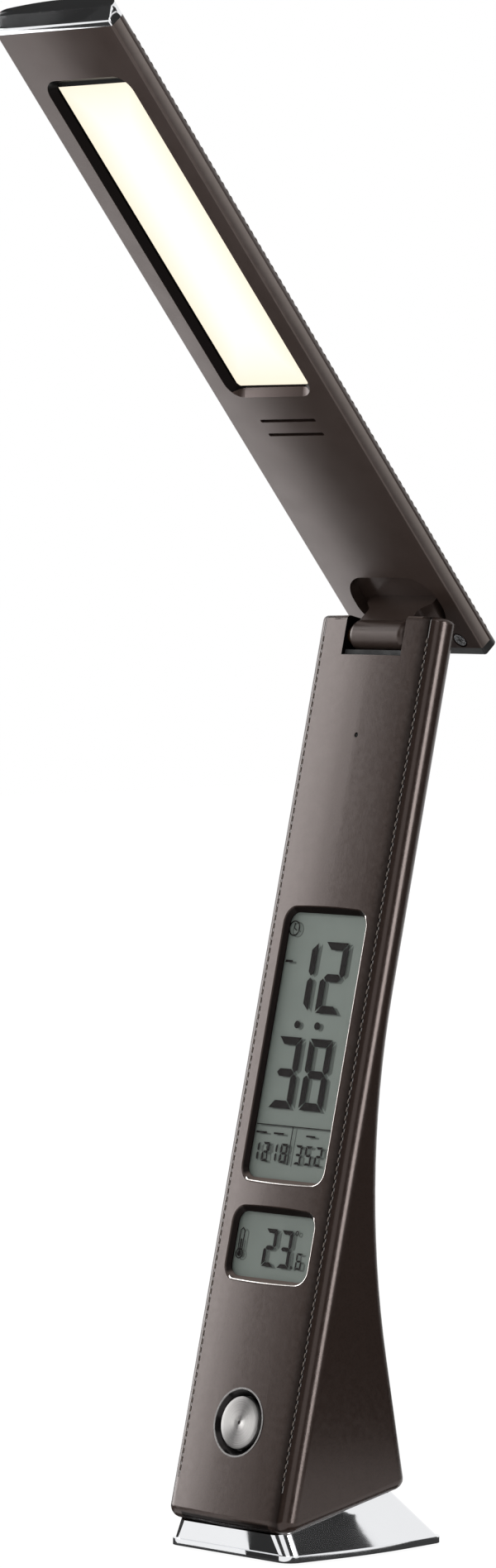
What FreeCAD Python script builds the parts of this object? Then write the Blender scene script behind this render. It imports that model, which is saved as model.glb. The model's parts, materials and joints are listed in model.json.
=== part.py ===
"""Folding LED desk lamp with a calendar clock in its stand, every piece at its real size in millimetres.

The stand leans back from a weighted foot, and the flat lamp head folds on a pin at its top.
+Z is up, the front faces -Y, and the origin is the middle of the foot pad's underside.
Stand and head are each drawn in a frame of their own: x across, y into the piece from its working face,
z along it from its lower end.
"""

import FreeCAD
import Part
import math
import os

V = FreeCAD.Vector
ACROSS = V(1, 0, 0)
TINY = 1e-6
OVER = 1.0                    # how far a cutter runs past the wall it cuts

# Stand casing
LEAN = 13.43                  # degrees that the front face leans back
FOOT_FRONT_Y = -35.96         # where the front face would meet the desk
STAND_LENGTH = 281.7          # along the front face
STAND_WIDTH = 52.0
STAND_THICK = 10.0            # upper part, square to the front face
REAR_FOOT_Y = 18.0            # rear face at the height of REAR_FOOT_Z
REAR_FOOT_Z = 20.0
REAR_SLOPE = 10.8             # degrees that the lower rear face leans forward
REAR_BLEND_R = 255.0          # hollow curve between the upper and lower rear faces
PARTING_FRONT_Z = 7.5         # lower edge of the casing at its front
PARTING_SLOPE = 11.4          # degrees that this edge rises to the rear
FRONT_R = 275.0               # shallow crown across the front face
EDGE_R = 4.5
TOP_R = 1.5
FOOT_R = 3.2
FRONT_WALL = 2.4
SIDE_WALL = 2.0
REAR_WALL = 1.8
LEDGE = 1.5                   # rail inside the casing that the rear cover lies on
LEDGE_WIDTH = 1.9
FLOOR_WALL = 2.5

# Rear cover
COVER_SIDE = 6.6              # cover's edge from the stand's side
COVER_PLAY = 0.15
COVER_LOW = 37.0              # lower end, along the stand
COVER_TOP_STEP = 6.0          # how far the cover laps the solid top
COVER_LAP = 6.0               # how far it laps the shelf at the bottom
COVER_SCREW_X = 12.0

# Hinge
HINGE_BELOW_TOP = 5.4         # pin axis under the stand's top
NOTCH_HALF = 12.55
NOTCH_BELOW_AXIS = 6.8
EAR_BLOCK = 11.5              # solid casing under the notch
BARREL_PLAY = 0.3             # barrel set back from the stand's faces
BARREL_END_R = 2.2
WASHER_THICK = 0.6
WASHER_PLAY = 0.2
WASHER_R = 3.2
PIN_R = 1.6
PIN_BORE_R = 0.95
PIN_PLAY = 0.05
PRESS_PLAY = 0.02
PIN_GRIP = 5.0                # pin length inside an ear
BUSH_WALL = 0.8
BUSH_LENGTH = 6.0
LUG_HALF_THICK = 3.8
LUG_STRAIGHT = 7.9            # lug keeps its width this far from the pin axis
LUG_NECK_INSET = 1.2          # lug is this much narrower than the barrel at each side
LUG_FOOT_HALF = 14.0
LUG_FOOT_RISE = 0.8
LUG_R = 2.0

# Head
HEAD_TILT = 50.08             # degrees above the horizon as stored
HINGE_DROP = 10.1             # pin axis below the head's underside
HINGE_RUN = 15.4              # pin axis from the head's tail
HEAD_LENGTH = 231.4           # tail to the start of the tip cap
HEAD_WIDTH = 49.5
HEAD_SPLIT = 3.8              # height of the lower cover's sides
HEAD_SHOULDER = 6.2
CROWN_PITCH = 10.5            # degrees, slope of the crown at the shoulders
CROWN_SHOULDER_RUN = 3.2
SHOULDER_R = 2.8
LOWER_EDGE_R = 0.6
HEAD_PLATE = 2.4
HEAD_SIDE_WALL = 1.8
HEAD_TOP_WALL = 1.5
HEAD_END_WALL = 1.6
HEAD_CAVITY_CORNER = 1.0
TAIL_CAP = 2.4
TIP_CAP = 7.0
TIP_CHAMFER_RUN = 4.0
TIP_CHAMFER_RISE = 3.2
POCKET_HALF = 18.0            # hollow round the foot of the hinge lug
POCKET_LOW = 9.6
POCKET_HIGH = 29.5
POCKET_DEPTH = 4.0
POCKET_WALL = 1.2
POCKET_R = 9.0
KNUCKLE_SCREW_X = 9.0
KNUCKLE_SCREW_LENGTH = 6.5
HEAD_SCREW_SIDE = 7.75        # from the head's side
HEAD_SCREW_RUN = 5.3
HEAD_BOSS_R = 2.4
HEAD_SINK_PLAY = 0.55         # room round a sunk screw head in the underside
SLOT_HALF = 11.7              # cooling slots in the underside
SLOT_WIDTH = 1.1
SLOT_RUNS = (84.4, 89.6)

# Light panel in the head
LIGHT_SIDE = 6.94             # opening's edge from the head's side
LIGHT_LOW = 98.57
LIGHT_TO_TIP = 16.98          # upper end of the opening from the tip cap
LIGHT_CORNER = 5.5
BEVEL = 2.0                   # sloped edge round the light and the displays
PANE_LAP = 0.6                # how far panes reach past the widest part of their openings
PANE_CORNER = 1.0
DIFFUSER = 1.2
GUIDE = 1.4
REFLECTOR = 0.3
CHIP_GAP = 0.15
CHIP_THICK = 0.7
CHIP_LENGTH = 2.8
CHIP_PITCH = 6.0
LED_BOARD = 1.0
LED_BOARD_DROP = 0.6          # strip stays this far below the guide's top

# Displays
CLOCK_SIDE = 7.54             # openings' edge from the stand's side
CLOCK_LOW = 109.9
CLOCK_HIGH = 193.5
THERMO_LOW = 80.45
THERMO_HIGH = 103.7
WINDOW_CORNER = 5.5
LENS = 0.6
LCD = 2.0
BOARD = 1.2
BOARD_SIDE = 6.0
BOARD_CORNER = 1.5
DISPLAY_BOARD_LOW = 78.0
DISPLAY_BOARD_BELOW = 8.0     # upper end, under the casing's solid top
INDICATOR_BELOW = 12.8
INDICATOR_R = 0.75
INDICATOR_PLAY = 0.1
INDICATOR_RECESS = 0.3
BUZZER_R = 6.0
BUZZER_THICK = 1.4
BUZZER_RISE = 150.0

# Power button and the control board behind it
BUTTON_RISE = 39.8
BEZEL_R = 10.3
BEZEL_COLLAR = 1.0            # wider ring and thickness behind the front wall
BUTTON_R = 7.8
BUTTON_PLAY = 0.3
BUTTON_RECESS = 2.0
BUTTON_FLANGE = 1.0
BUTTON_STEM_R = 2.0
BUTTON_STEM = 1.1
SWITCH_GAP = 0.9
SWITCH_HALF = 3.0
SWITCH_BODY = 2.0
SWITCH_CORNER = 0.4
PLUNGER = 0.5
PLUNGER_R = 1.6
CONTROL_LOW = 22.0
CONTROL_HIGH = 72.0
POST_R = 2.2
POST_SIDE = 10.5
POST_INSET = 5.0
SCREW_R = 1.1                 # small screws in the boards and covers
SCREW_HEAD_R = 2.1
SCREW_HEAD = 1.2
SCREW_GRIP = 4.0
SCREW_PLAY = 0.05

# Battery
CRADLE_GAP = 1.8              # room for the board screws behind the control board
CRADLE = 1.5
CRADLE_RIM = 2.0
CRADLE_CORNER = 1.5
BATTERY_SIDE = 9.0
BATTERY_THICK = 9.0
BATTERY_LOW = 30.0
BATTERY_LENGTH = 44.0
BATTERY_R = 2.0
BATTERY_PLAY = 0.1

# Setting buttons on the back
SET_BELOW = {"down_button": 46.0, "set_button": 37.0, "up_button": 28.0}  # under the solid top
SET_R = 2.6
SET_PLAY = 0.3
SET_PROUD = 0.5
SET_FLANGE_R = 3.5
SET_FLANGE = 0.6
SET_SWITCH_HALF = 2.0
SET_SWITCH = 0.5
SET_SWITCH_CORNER = 0.3

# Charging socket
PORT_Z = 36.0                 # height on the lower rear face
PORT_HALF = 4.47
PORT_HALF_HEIGHT = 1.63
PORT_WALL = 0.32
PORT_LENGTH = 7.6
PORT_FLOOR = 1.2
PORT_PLAY = 0.12
PORT_RECESS = 0.3
TONGUE_HALF = 3.35
TONGUE_HALF_HEIGHT = 0.35
TONGUE_LENGTH = 5.0
PORT_BOARD_HALF = 9.4
PORT_BOARD_HALF_HEIGHT = 6.0
PORT_POST_X = 7.2
PORT_POST_R = 1.8

# Foot
LIP_FRONT_Y = -31.0
LIP_REAR_Y = 31.0
LIP_FRONT_HALF = 25.8
LIP_REAR_HALF = 27.6
LIP_MIDDLE_HALF = 30.0
LIP_CORNER_R = 4.5
LIP_SIDE_R = 140.0
LIP_HEIGHT = 2.0
LIP_STEP = 0.6                # lip stands this far outside the flare
LIP_CLEAR = 0.5               # lip stays this far above the desk
FLARE_INSET = 3.4             # flare meets the casing this far inside its lower edge
FLARE_BULGE = 0.6
PLINTH_WALL = 2.4
HOLLOW_HALF = 17.5
HOLLOW_FRONT_Y = -24.5
HOLLOW_REAR_Y = 22.0
HOLLOW_TOP_REAR_Y = 11.0
HOLLOW_SIDE = 4.0
PAD_THICK = 1.5
PAD_INSET = 1.0
PLATE_THICK = 2.0
PLATE_HALF = 21.0
PLATE_HALF_DEPTH = 27.0
PLATE_CORNER = 6.0
PLATE_PLAY = 0.1
WEIGHT_PLAY = 0.3
BASE_SCREW_R = 1.5
BASE_SCREW_HEAD_R = 2.8
BASE_SCREW_HEAD = 1.2
BASE_SCREW_X = 11.0
BASE_SCREW_FRONT_Y = -17.0
BASE_SCREW_REAR_Y = 6.0
BASE_SCREW_GRIP = 6.5
BASE_BOSS_R = 3.4

# Leads
LEAD_R = 0.6
LEAD_PLAY = 0.25
LEAD_BEND = 2.0
LEAD_X = 15.0                 # stand's lead on the display board
LEAD_START = 12.0             # lead leaves the board this far under its upper end
LEAD_EAR_GRIP = 2.0           # lead rises this far outside the pin's outer end
HEAD_LEAD_TURN = 70.0
HEAD_LEAD_TAIL = 8.0          # straight end of the head's lead beside a light strip

# Worked out from the sizes above
STAND = FreeCAD.Placement(V(0, FOOT_FRONT_Y, 0), FreeCAD.Rotation(ACROSS, -LEAN))
STAND_HALF = STAND_WIDTH / 2
HINGE_RISE = STAND_LENGTH - HINGE_BELOW_TOP
HINGE_DEPTH = STAND_THICK / 2
NOTCH_FLOOR = HINGE_RISE - NOTCH_BELOW_AXIS
CAVITY_TOP = NOTCH_FLOOR - EAR_BLOCK
COVER_TOP = CAVITY_TOP + COVER_TOP_STEP
COVER_HALF = STAND_HALF - COVER_SIDE
CLOCK_HALF = STAND_HALF - CLOCK_SIDE
BOARD_HALF = STAND_HALF - BOARD_SIDE
POST_X = STAND_HALF - POST_SIDE
BATTERY_HALF = STAND_HALF - BATTERY_SIDE
DISPLAY_BOARD_HIGH = CAVITY_TOP - DISPLAY_BOARD_BELOW
INDICATOR_RISE = CAVITY_TOP - INDICATOR_BELOW
SET_RISES = {name: CAVITY_TOP - below for name, below in SET_BELOW.items()}
BARREL_R = HINGE_DEPTH - BARREL_PLAY
BARREL_HALF = NOTCH_HALF - WASHER_THICK - WASHER_PLAY
PIN_INNER = BARREL_HALF - BUSH_LENGTH
PIN_OUTER = NOTCH_HALF + PIN_GRIP
BUSH_R = PIN_R + BUSH_WALL
PART_WAY = PARTING_FRONT_Z / math.cos(math.radians(LEAN))

HEAD_TURN = FreeCAD.Rotation(ACROSS, 90 - HEAD_TILT)
HINGE_POINT = STAND.multVec(V(0, HINGE_DEPTH, HINGE_RISE))
HEAD = FreeCAD.Placement(HINGE_POINT - HEAD_TURN.multVec(V(0, -HINGE_DROP, HINGE_RUN)), HEAD_TURN)
HEAD_HALF = HEAD_WIDTH / 2
HEAD_SCREW_X = HEAD_HALF - HEAD_SCREW_SIDE
LIGHT_HALF = HEAD_HALF - LIGHT_SIDE
LIGHT_HIGH = HEAD_LENGTH - LIGHT_TO_TIP
HEAD_CAVITY_LOW = TAIL_CAP + HEAD_END_WALL
HEAD_CAVITY_HIGH = HEAD_LENGTH - HEAD_END_WALL
POCKET_ROOF = POCKET_DEPTH + POCKET_WALL

LENS_BACK = FRONT_WALL + LENS
LCD_BACK = LENS_BACK + LCD
DISPLAY_BACK = LCD_BACK + BOARD
FLANGE_FRONT = FRONT_WALL + BEZEL_COLLAR + BUTTON_PLAY
STEM_END = FLANGE_FRONT + BUTTON_FLANGE + BUTTON_STEM
SWITCH_TOP = STEM_END + SWITCH_GAP
CONTROL_FRONT = SWITCH_TOP + PLUNGER + SWITCH_BODY
CONTROL_BACK = CONTROL_FRONT + BOARD
CRADLE_FRONT = CONTROL_BACK + CRADLE_GAP
CRADLE_BACK = CRADLE_FRONT + CRADLE
BATTERY_HIGH = BATTERY_LOW + BATTERY_LENGTH

PARTING_RUN = V(0, math.cos(math.radians(PARTING_SLOPE)), math.sin(math.radians(PARTING_SLOPE)))
PARTING_FRONT = STAND.multVec(V(0, 0, PART_WAY))
PLATE_TOP = PAD_THICK + PLATE_THICK


def corner_arc(before, corner, after, radius):
    """Start, middle and end of the arc that rounds a corner."""
    to_before = (before - corner).normalize()
    to_after = (after - corner).normalize()
    half = to_before.getAngle(to_after) / 2
    reach = radius / math.tan(half)
    middle = corner + (to_before + to_after).normalize() * (radius / math.sin(half) - radius)
    return corner + to_before * reach, middle, corner + to_after * reach


def outline(points, radii):
    """Closed wire through the points, each corner rounded by its radius, or sharp where that is 0."""
    count = len(points)
    corners = []
    for index, radius in enumerate(radii):
        corner = points[index]
        if radius:
            corners.append(corner_arc(points[index - 1], corner, points[(index + 1) % count], radius))
        else:
            corners.append((corner, None, corner))
    edges = []
    for index, (start, middle, end) in enumerate(corners):
        if middle is not None:
            edges.append(Part.Arc(start, middle, end).toShape())
        following = corners[(index + 1) % count][0]
        if (following - end).Length > TINY:
            edges.append(Part.LineSegment(end, following).toShape())
    return Part.Wire(edges)


def prism(points, radii, run):
    """Solid that the rounded outline sweeps along run."""
    return Part.Face(outline(points, radii)).extrude(run)


def pane_points(half, low, high, depth):
    """Corners of an upright rectangle at one depth."""
    return [V(-half, depth, low), V(half, depth, low), V(half, depth, high), V(-half, depth, high)]


def pane(half, low, high, front, back, corner):
    """Flat plate across a stand or head, with rounded corners."""
    return prism(pane_points(half, low, high, front), [corner] * 4, V(0, back - front, 0))


def box(low, high):
    """Block between two opposite corners."""
    size = high - low
    return Part.makeBox(size.x, size.y, size.z, low)


def rod(radius, start, end):
    """Round bar between two points."""
    run = end - start
    return Part.makeCylinder(radius, run.Length, start, run)


def bevelled_opening(half, low, high, corner, wall):
    """Cutter for an opening whose edge slopes in by BEVEL and then runs straight through the wall."""
    mouth = outline(pane_points(half + OVER, low - OVER, high + OVER, -OVER), [corner + OVER] * 4)
    throat = outline(pane_points(half - BEVEL, low + BEVEL, high - BEVEL, BEVEL), [corner - BEVEL] * 4)
    slope = Part.makeLoft([mouth, throat], True, True)
    through = pane(half - BEVEL, low + BEVEL, high - BEVEL, BEVEL, wall + OVER, corner - BEVEL)
    return slope.fuse(through)


def route(points, bend):
    """Open wire through the points, with straight runs and arcs of one bend radius."""
    edges = []
    here = points[0]
    for before, corner, after in zip(points, points[1:], points[2:]):
        start, middle, end = corner_arc(before, corner, after, bend)
        edges.append(Part.LineSegment(here, start).toShape())
        edges.append(Part.Arc(start, middle, end).toShape())
        here = end
    edges.append(Part.LineSegment(here, points[-1]).toShape())
    return Part.Wire(edges)


def lead(points, radius, bend):
    """Round lead along a route."""
    section = Part.Wire(Part.makeCircle(radius, points[0], points[1] - points[0]))
    return route(points, bend).makePipeShell([section], True, False)


def screw(seat, run, radius, head_radius, head, grip):
    """Pan-head screw whose head stands on seat and whose shank goes along run."""
    direction = V(run).normalize()
    return rod(head_radius, seat - direction * head, seat).fuse(rod(radius, seat, seat + direction * grip))


def placed(shape, frame):
    """A copy of a shape set into the stand's or head's frame."""
    copy = shape.copy()
    copy.Placement = frame.multiply(copy.Placement)
    return copy.removeSplitter()


def group(shapes):
    """Separate like pieces kept together."""
    return Part.makeCompound(shapes)


def meet(point, run, other, other_run):
    """Where two lines of the side view cross."""
    cross = run.y * other_run.z - run.z * other_run.y
    gap = other - point
    return point + run * ((gap.y * other_run.z - gap.z * other_run.y) / cross)


def turned(degrees):
    """Direction up the front face, swung forward by an angle."""
    angle = math.radians(degrees)
    return V(0, -math.sin(angle), math.cos(angle))


REAR_UP = turned(LEAN + REAR_SLOPE)
REAR_IN = V(0, -REAR_UP.z, REAR_UP.y)
REAR_FOOT = STAND.inverse().multVec(V(0, REAR_FOOT_Y, REAR_FOOT_Z))
PARTING = turned(LEAN + PARTING_SLOPE - 90)
PARTING_UP = turned(LEAN + PARTING_SLOPE)
PARTING_EDGE = V(0, 0, PART_WAY)
PORT_RISE = (PORT_Z - REAR_FOOT_Z) / math.cos(math.radians(REAR_SLOPE))
PORT_TURN = FreeCAD.Rotation(ACROSS, LEAN + REAR_SLOPE).multiply(FreeCAD.Rotation(V(0, 0, 1), 180))
PORT = FreeCAD.Placement(REAR_FOOT + REAR_UP * PORT_RISE, PORT_TURN)


def stand_block(half, front, rear, top, lift):
    """Solid with the stand's side outline, set in from its faces, with its lower edge lifted."""
    rear_low = REAR_FOOT + REAR_IN * rear
    rear_top = V(0, STAND_THICK - rear, top)
    edge = PARTING_EDGE + PARTING_UP * lift
    corners = [
        meet(V(0, front, 0), turned(0), edge, PARTING),
        V(0, front, top),
        rear_top,
        meet(rear_top, turned(0), rear_low, REAR_UP),
        meet(rear_low, REAR_UP, edge, PARTING),
    ]
    shift = V(-half, 0, 0)
    radii = [0, 0, 0, REAR_BLEND_R + rear, 0]
    return prism([corner + shift for corner in corners], radii, V(2 * half, 0, 0))


def edges_where(shape, test):
    """Edges whose ends and middle all pass a test."""
    picked = []
    for edge in shape.Edges:
        middle = (edge.FirstParameter + edge.LastParameter) / 2
        spots = [edge.valueAt(at) for at in (edge.FirstParameter, middle, edge.LastParameter)]
        if all(test(spot) for spot in spots):
            picked.append(edge)
    return picked


def at_top(spot):
    return abs(spot.z - STAND_LENGTH) < TINY


def at_parting(spot):
    return abs((spot - PARTING_EDGE).dot(PARTING_UP)) < TINY


def stand_outside():
    """The stand's whole outside, with its long edges, top and lower edge rounded."""
    block = stand_block(STAND_HALF, 0, 0, STAND_LENGTH, 0)
    block = block.common(rod(FRONT_R, V(0, FRONT_R, 0), V(0, FRONT_R, STAND_LENGTH + OVER)))
    sides = edges_where(block, lambda spot: abs(abs(spot.x) - STAND_HALF) < TINY)
    ends = edges_where(block, at_top) + edges_where(block, at_parting)
    long_edges = [edge for edge in sides if not any(edge.isSame(end) for end in ends)]
    block = block.makeFillet(EDGE_R, long_edges)
    block = block.makeFillet(TOP_R, edges_where(block, at_top))
    return block.makeFillet(FOOT_R, edges_where(block, at_parting))


def rear_layer(half, outer, inner, low, high):
    """Layer of the stand's back between two depths under the rear face."""
    layer = stand_block(half, FRONT_WALL, outer, STAND_LENGTH, 0)
    layer = layer.cut(stand_block(half + OVER, -OVER, inner, STAND_LENGTH + OVER, -OVER))
    reach = REAR_FOOT.y + OVER
    return layer.common(box(V(-half, 0, low), V(half, reach, high)))


def cover_screw_seats():
    """Where the rear cover's screw heads bear, and which way the screws go in."""
    low = COVER_LOW + COVER_LAP / 2
    high = CAVITY_TOP + COVER_TOP_STEP / 2
    low_seat = meet(REAR_FOOT + REAR_IN * SCREW_HEAD, REAR_UP, V(0, 0, low), V(0, 1, 0))
    high_seat = V(0, STAND_THICK - SCREW_HEAD, high)
    seats = []
    for side in (-COVER_SCREW_X, COVER_SCREW_X):
        seats.append((low_seat + V(side, 0, 0), REAR_IN))
        seats.append((high_seat + V(side, 0, 0), V(0, -1, 0)))
    return seats


def screw_hole(seat, run):
    """Clearance for a small screw's shank."""
    return rod(SCREW_R + SCREW_PLAY, seat, seat + V(run) * (SCREW_GRIP + OVER))


def screw_sink(seat, run):
    """Room for a small screw's head above its seat."""
    return rod(SCREW_HEAD_R + SCREW_PLAY, seat - V(run) * (SCREW_HEAD + OVER), seat)


def small_screw(seat, run):
    """Small pan-head screw."""
    return screw(seat, run, SCREW_R, SCREW_HEAD_R, SCREW_HEAD, SCREW_GRIP)


def post_places():
    """Where the control board is screwed down, across and up the stand."""
    rises = (CONTROL_LOW + POST_INSET, CONTROL_HIGH - POST_INSET)
    return [(side, rise) for side in (-POST_X, POST_X) for rise in rises]


def stand_lead_points():
    """The lamp's lead from the display board into the right ear and along the hollow pin."""
    ear_x = PIN_OUTER + LEAD_EAR_GRIP
    back = DISPLAY_BACK + LEAD_R
    return [
        V(LEAD_X, back, DISPLAY_BOARD_HIGH - LEAD_START),
        V(LEAD_X, back, DISPLAY_BOARD_HIGH + LEAD_R),
        V(ear_x, HINGE_DEPTH, CAVITY_TOP),
        V(ear_x, HINGE_DEPTH, HINGE_RISE),
        V(PIN_INNER + LEAD_PLAY, HINGE_DEPTH, HINGE_RISE),
    ]


def parting_height(y):
    """Height of the casing's lower edge above the desk at a place from front to rear."""
    return PARTING_FRONT.z + (y - PARTING_FRONT.y) * PARTING_RUN.z / PARTING_RUN.y


def base_screw_places():
    """Where the foot is screwed to the casing."""
    rows = (BASE_SCREW_FRONT_Y, BASE_SCREW_REAR_Y)
    return [V(side, y, 0) for side in (-BASE_SCREW_X, BASE_SCREW_X) for y in rows]


def hinge_bore(radius, inner, outer):
    """Two bars on the pin axis, one each side, in the stand's frame."""
    bars = []
    for side in (-1, 1):
        start = V(side * inner, HINGE_DEPTH, HINGE_RISE)
        bars.append(rod(radius, start, V(side * outer, HINGE_DEPTH, HINGE_RISE)))
    return bars


def stand_front_shell():
    """Front, sides, floor and hinge ears of the stand in one casting, open at the back."""
    outside = stand_outside()
    inner_half = STAND_HALF - SIDE_WALL
    shell = outside.cut(stand_block(inner_half, FRONT_WALL, REAR_WALL + LEDGE, CAVITY_TOP, FLOOR_WALL))
    seat = COVER_HALF + COVER_PLAY
    shell = shell.cut(rear_layer(seat, -OVER, REAR_WALL, COVER_LOW - COVER_PLAY, COVER_TOP + COVER_PLAY))
    way_half = COVER_HALF - LEDGE_WIDTH
    way_in = rear_layer(way_half, 0, REAR_WALL + LEDGE + OVER, COVER_LOW + COVER_LAP, CAVITY_TOP)
    shell = shell.cut(way_in)
    notch = box(V(-NOTCH_HALF, -OVER, NOTCH_FLOOR), V(NOTCH_HALF, STAND_THICK + OVER, STAND_LENGTH + OVER))
    cutters = [
        notch,
        bevelled_opening(CLOCK_HALF, CLOCK_LOW, CLOCK_HIGH, WINDOW_CORNER, FRONT_WALL),
        bevelled_opening(CLOCK_HALF, THERMO_LOW, THERMO_HIGH, WINDOW_CORNER, FRONT_WALL),
        rod(INDICATOR_R, V(0, -OVER, INDICATOR_RISE), V(0, FRONT_WALL + OVER, INDICATOR_RISE)),
        rod(BEZEL_R + PRESS_PLAY, V(0, -OVER, BUTTON_RISE), V(0, FRONT_WALL + OVER, BUTTON_RISE)),
    ]
    shell = shell.cut(cutters)
    posts = [
        rod(POST_R, V(side, FRONT_WALL, rise), V(side, CONTROL_FRONT, rise)) for side, rise in post_places()
    ]
    for seat_point, run in cover_screw_seats():
        inner = seat_point + V(run) * (REAR_WALL - SCREW_HEAD)
        posts.append(rod(POST_R, inner, inner + V(run) * SCREW_GRIP))
    shell = shell.fuse(posts)
    holes = [screw_hole(seat_point, run) for seat_point, run in cover_screw_seats()]
    for side, rise in post_places():
        holes.append(rod(SCREW_R + SCREW_PLAY, V(side, FRONT_WALL, rise), V(side, CONTROL_BACK, rise)))
    holes += hinge_bore(PIN_R + PRESS_PLAY, NOTCH_HALF - OVER, PIN_OUTER)
    channel = stand_lead_points()[1:4] + [V(PIN_OUTER - PIN_GRIP / 2, HINGE_DEPTH, HINGE_RISE)]
    holes.append(lead(channel, LEAD_R + LEAD_PLAY, LEAD_BEND))
    shell = placed(shell.cut(holes), STAND)
    inside = placed(outside, STAND)
    for place in base_screw_places():
        top = parting_height(place.y) + BASE_SCREW_GRIP
        boss = rod(BASE_BOSS_R, place, place + V(0, 0, top + BASE_BOSS_R / 2)).common(inside)
        shell = shell.fuse(boss).cut(rod(BASE_SCREW_R + SCREW_PLAY, place, place + V(0, 0, top)))
    return shell.removeSplitter()


def stand_rear_cover():
    """Back panel, curved to the stand, with the socket, setting buttons and screws in it."""
    cover = rear_layer(COVER_HALF, 0, REAR_WALL, COVER_LOW, COVER_TOP)
    holes = []
    for seat, run in cover_screw_seats():
        holes += [screw_hole(seat, run), screw_sink(seat, run)]
    for rise in SET_RISES.values():
        inner = V(0, STAND_THICK - REAR_WALL - OVER, rise)
        holes.append(rod(SET_R + SET_PLAY, inner, V(0, STAND_THICK + OVER, rise)))
    mouth = socket_slug(PORT_PLAY, -OVER, REAR_WALL + OVER)
    holes.append(placed(mouth, PORT))
    cover = cover.cut(holes)
    for side in (-PORT_POST_X, PORT_POST_X):
        post = rod(PORT_POST_R, V(side, REAR_WALL / 2, 0), V(side, PORT_RECESS + PORT_LENGTH, 0))
        cover = cover.fuse(placed(post, PORT))
    return placed(cover.removeSplitter(), STAND)


def socket_slug(grow, front, back):
    """Flat-sided oval bar of the charging socket's outline."""
    half = PORT_HALF + grow
    tall = PORT_HALF_HEIGHT + grow
    return pane(half, -tall, tall, front, back, tall)


def charge_port():
    """Metal socket shell with its contact tongue."""
    back = PORT_RECESS + PORT_LENGTH
    shell = socket_slug(0, PORT_RECESS, back)
    shell = shell.cut(socket_slug(-PORT_WALL, PORT_RECESS - OVER, back - PORT_FLOOR))
    low = V(-TONGUE_HALF, back - PORT_FLOOR - TONGUE_LENGTH, -TONGUE_HALF_HEIGHT)
    tongue = box(low, V(TONGUE_HALF, back - PORT_FLOOR, TONGUE_HALF_HEIGHT))
    return placed(placed(shell.fuse(tongue), PORT), STAND)


def port_board():
    """Small board that the socket is soldered to, on the rear cover's posts."""
    front = PORT_RECESS + PORT_LENGTH
    tall = PORT_BOARD_HALF_HEIGHT
    return placed(placed(pane(PORT_BOARD_HALF, -tall, tall, front, front + BOARD, BOARD_CORNER), PORT), STAND)


def display_pane(low, high, front, back):
    """Lens or display glass behind one of the front openings."""
    sheet = pane(CLOCK_HALF + PANE_LAP, low - PANE_LAP, high + PANE_LAP, front, back, PANE_CORNER)
    return placed(sheet, STAND)


def display_board():
    board = pane(BOARD_HALF, DISPLAY_BOARD_LOW, DISPLAY_BOARD_HIGH, LCD_BACK, DISPLAY_BACK, BOARD_CORNER)
    return placed(board, STAND)


def charge_indicator():
    """Clear light pipe that ends in the small hole above the clock."""
    front = V(0, INDICATOR_RECESS, INDICATOR_RISE)
    return placed(rod(INDICATOR_R - INDICATOR_PLAY, front, V(0, LCD_BACK, INDICATOR_RISE)), STAND)


def buzzer():
    front = V(0, DISPLAY_BACK, BUZZER_RISE)
    return placed(rod(BUZZER_R, front, front + V(0, BUZZER_THICK, 0)), STAND)


def turned_ring(profile):
    """Ring or disc about the power button's axis, from radius and depth pairs."""
    points = [V(radius, depth, BUTTON_RISE) for radius, depth in profile]
    face = Part.Face(Part.makePolygon(points + points[:1]))
    return placed(face.revolve(V(0, 0, BUTTON_RISE), V(0, 1, 0), 360), STAND)


def button_bezel():
    """Ring round the power button, coned inside, with a collar behind the front wall."""
    throat = BUTTON_R + BUTTON_PLAY
    collar_back = FRONT_WALL + BEZEL_COLLAR
    return turned_ring([
        (throat, BUTTON_RECESS),
        (BEZEL_R - (BEZEL_R - throat) / 4, 0),
        (BEZEL_R, 0),
        (BEZEL_R, FRONT_WALL),
        (BEZEL_R + BEZEL_COLLAR, FRONT_WALL),
        (BEZEL_R + BEZEL_COLLAR, collar_back),
        (throat, collar_back),
    ])


def power_button():
    """Spun metal disc with a flange that the bezel holds in, and a stem towards the switch."""
    edge = BUTTON_PLAY
    flange = BUTTON_R + BUTTON_FLANGE
    flange_back = FLANGE_FRONT + BUTTON_FLANGE
    return turned_ring([
        (0, BUTTON_RECESS),
        (BUTTON_R - edge, BUTTON_RECESS),
        (BUTTON_R, BUTTON_RECESS + edge),
        (BUTTON_R, FLANGE_FRONT),
        (flange, FLANGE_FRONT),
        (flange, flange_back),
        (BUTTON_STEM_R, flange_back),
        (BUTTON_STEM_R, STEM_END),
        (0, STEM_END),
    ])


def power_switch():
    """Push switch behind the power button."""
    body = pane(SWITCH_HALF, BUTTON_RISE - SWITCH_HALF, BUTTON_RISE + SWITCH_HALF,
                CONTROL_FRONT - SWITCH_BODY, CONTROL_FRONT, SWITCH_CORNER)
    plunger = rod(PLUNGER_R, V(0, SWITCH_TOP, BUTTON_RISE), V(0, CONTROL_FRONT, BUTTON_RISE))
    return placed(body.fuse(plunger), STAND)


def control_board():
    board = pane(BOARD_HALF, CONTROL_LOW, CONTROL_HIGH, CONTROL_FRONT, CONTROL_BACK, BOARD_CORNER)
    holes = []
    for side, rise in post_places():
        start = V(side, CONTROL_FRONT - OVER, rise)
        holes.append(rod(SCREW_R + SCREW_PLAY, start, V(side, CONTROL_BACK + OVER, rise)))
    return placed(board.cut(holes), STAND)


def board_screws():
    seats = [V(side, CONTROL_BACK, rise) for side, rise in post_places()]
    return placed(group([small_screw(seat, V(0, -1, 0)) for seat in seats]), STAND)


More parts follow.
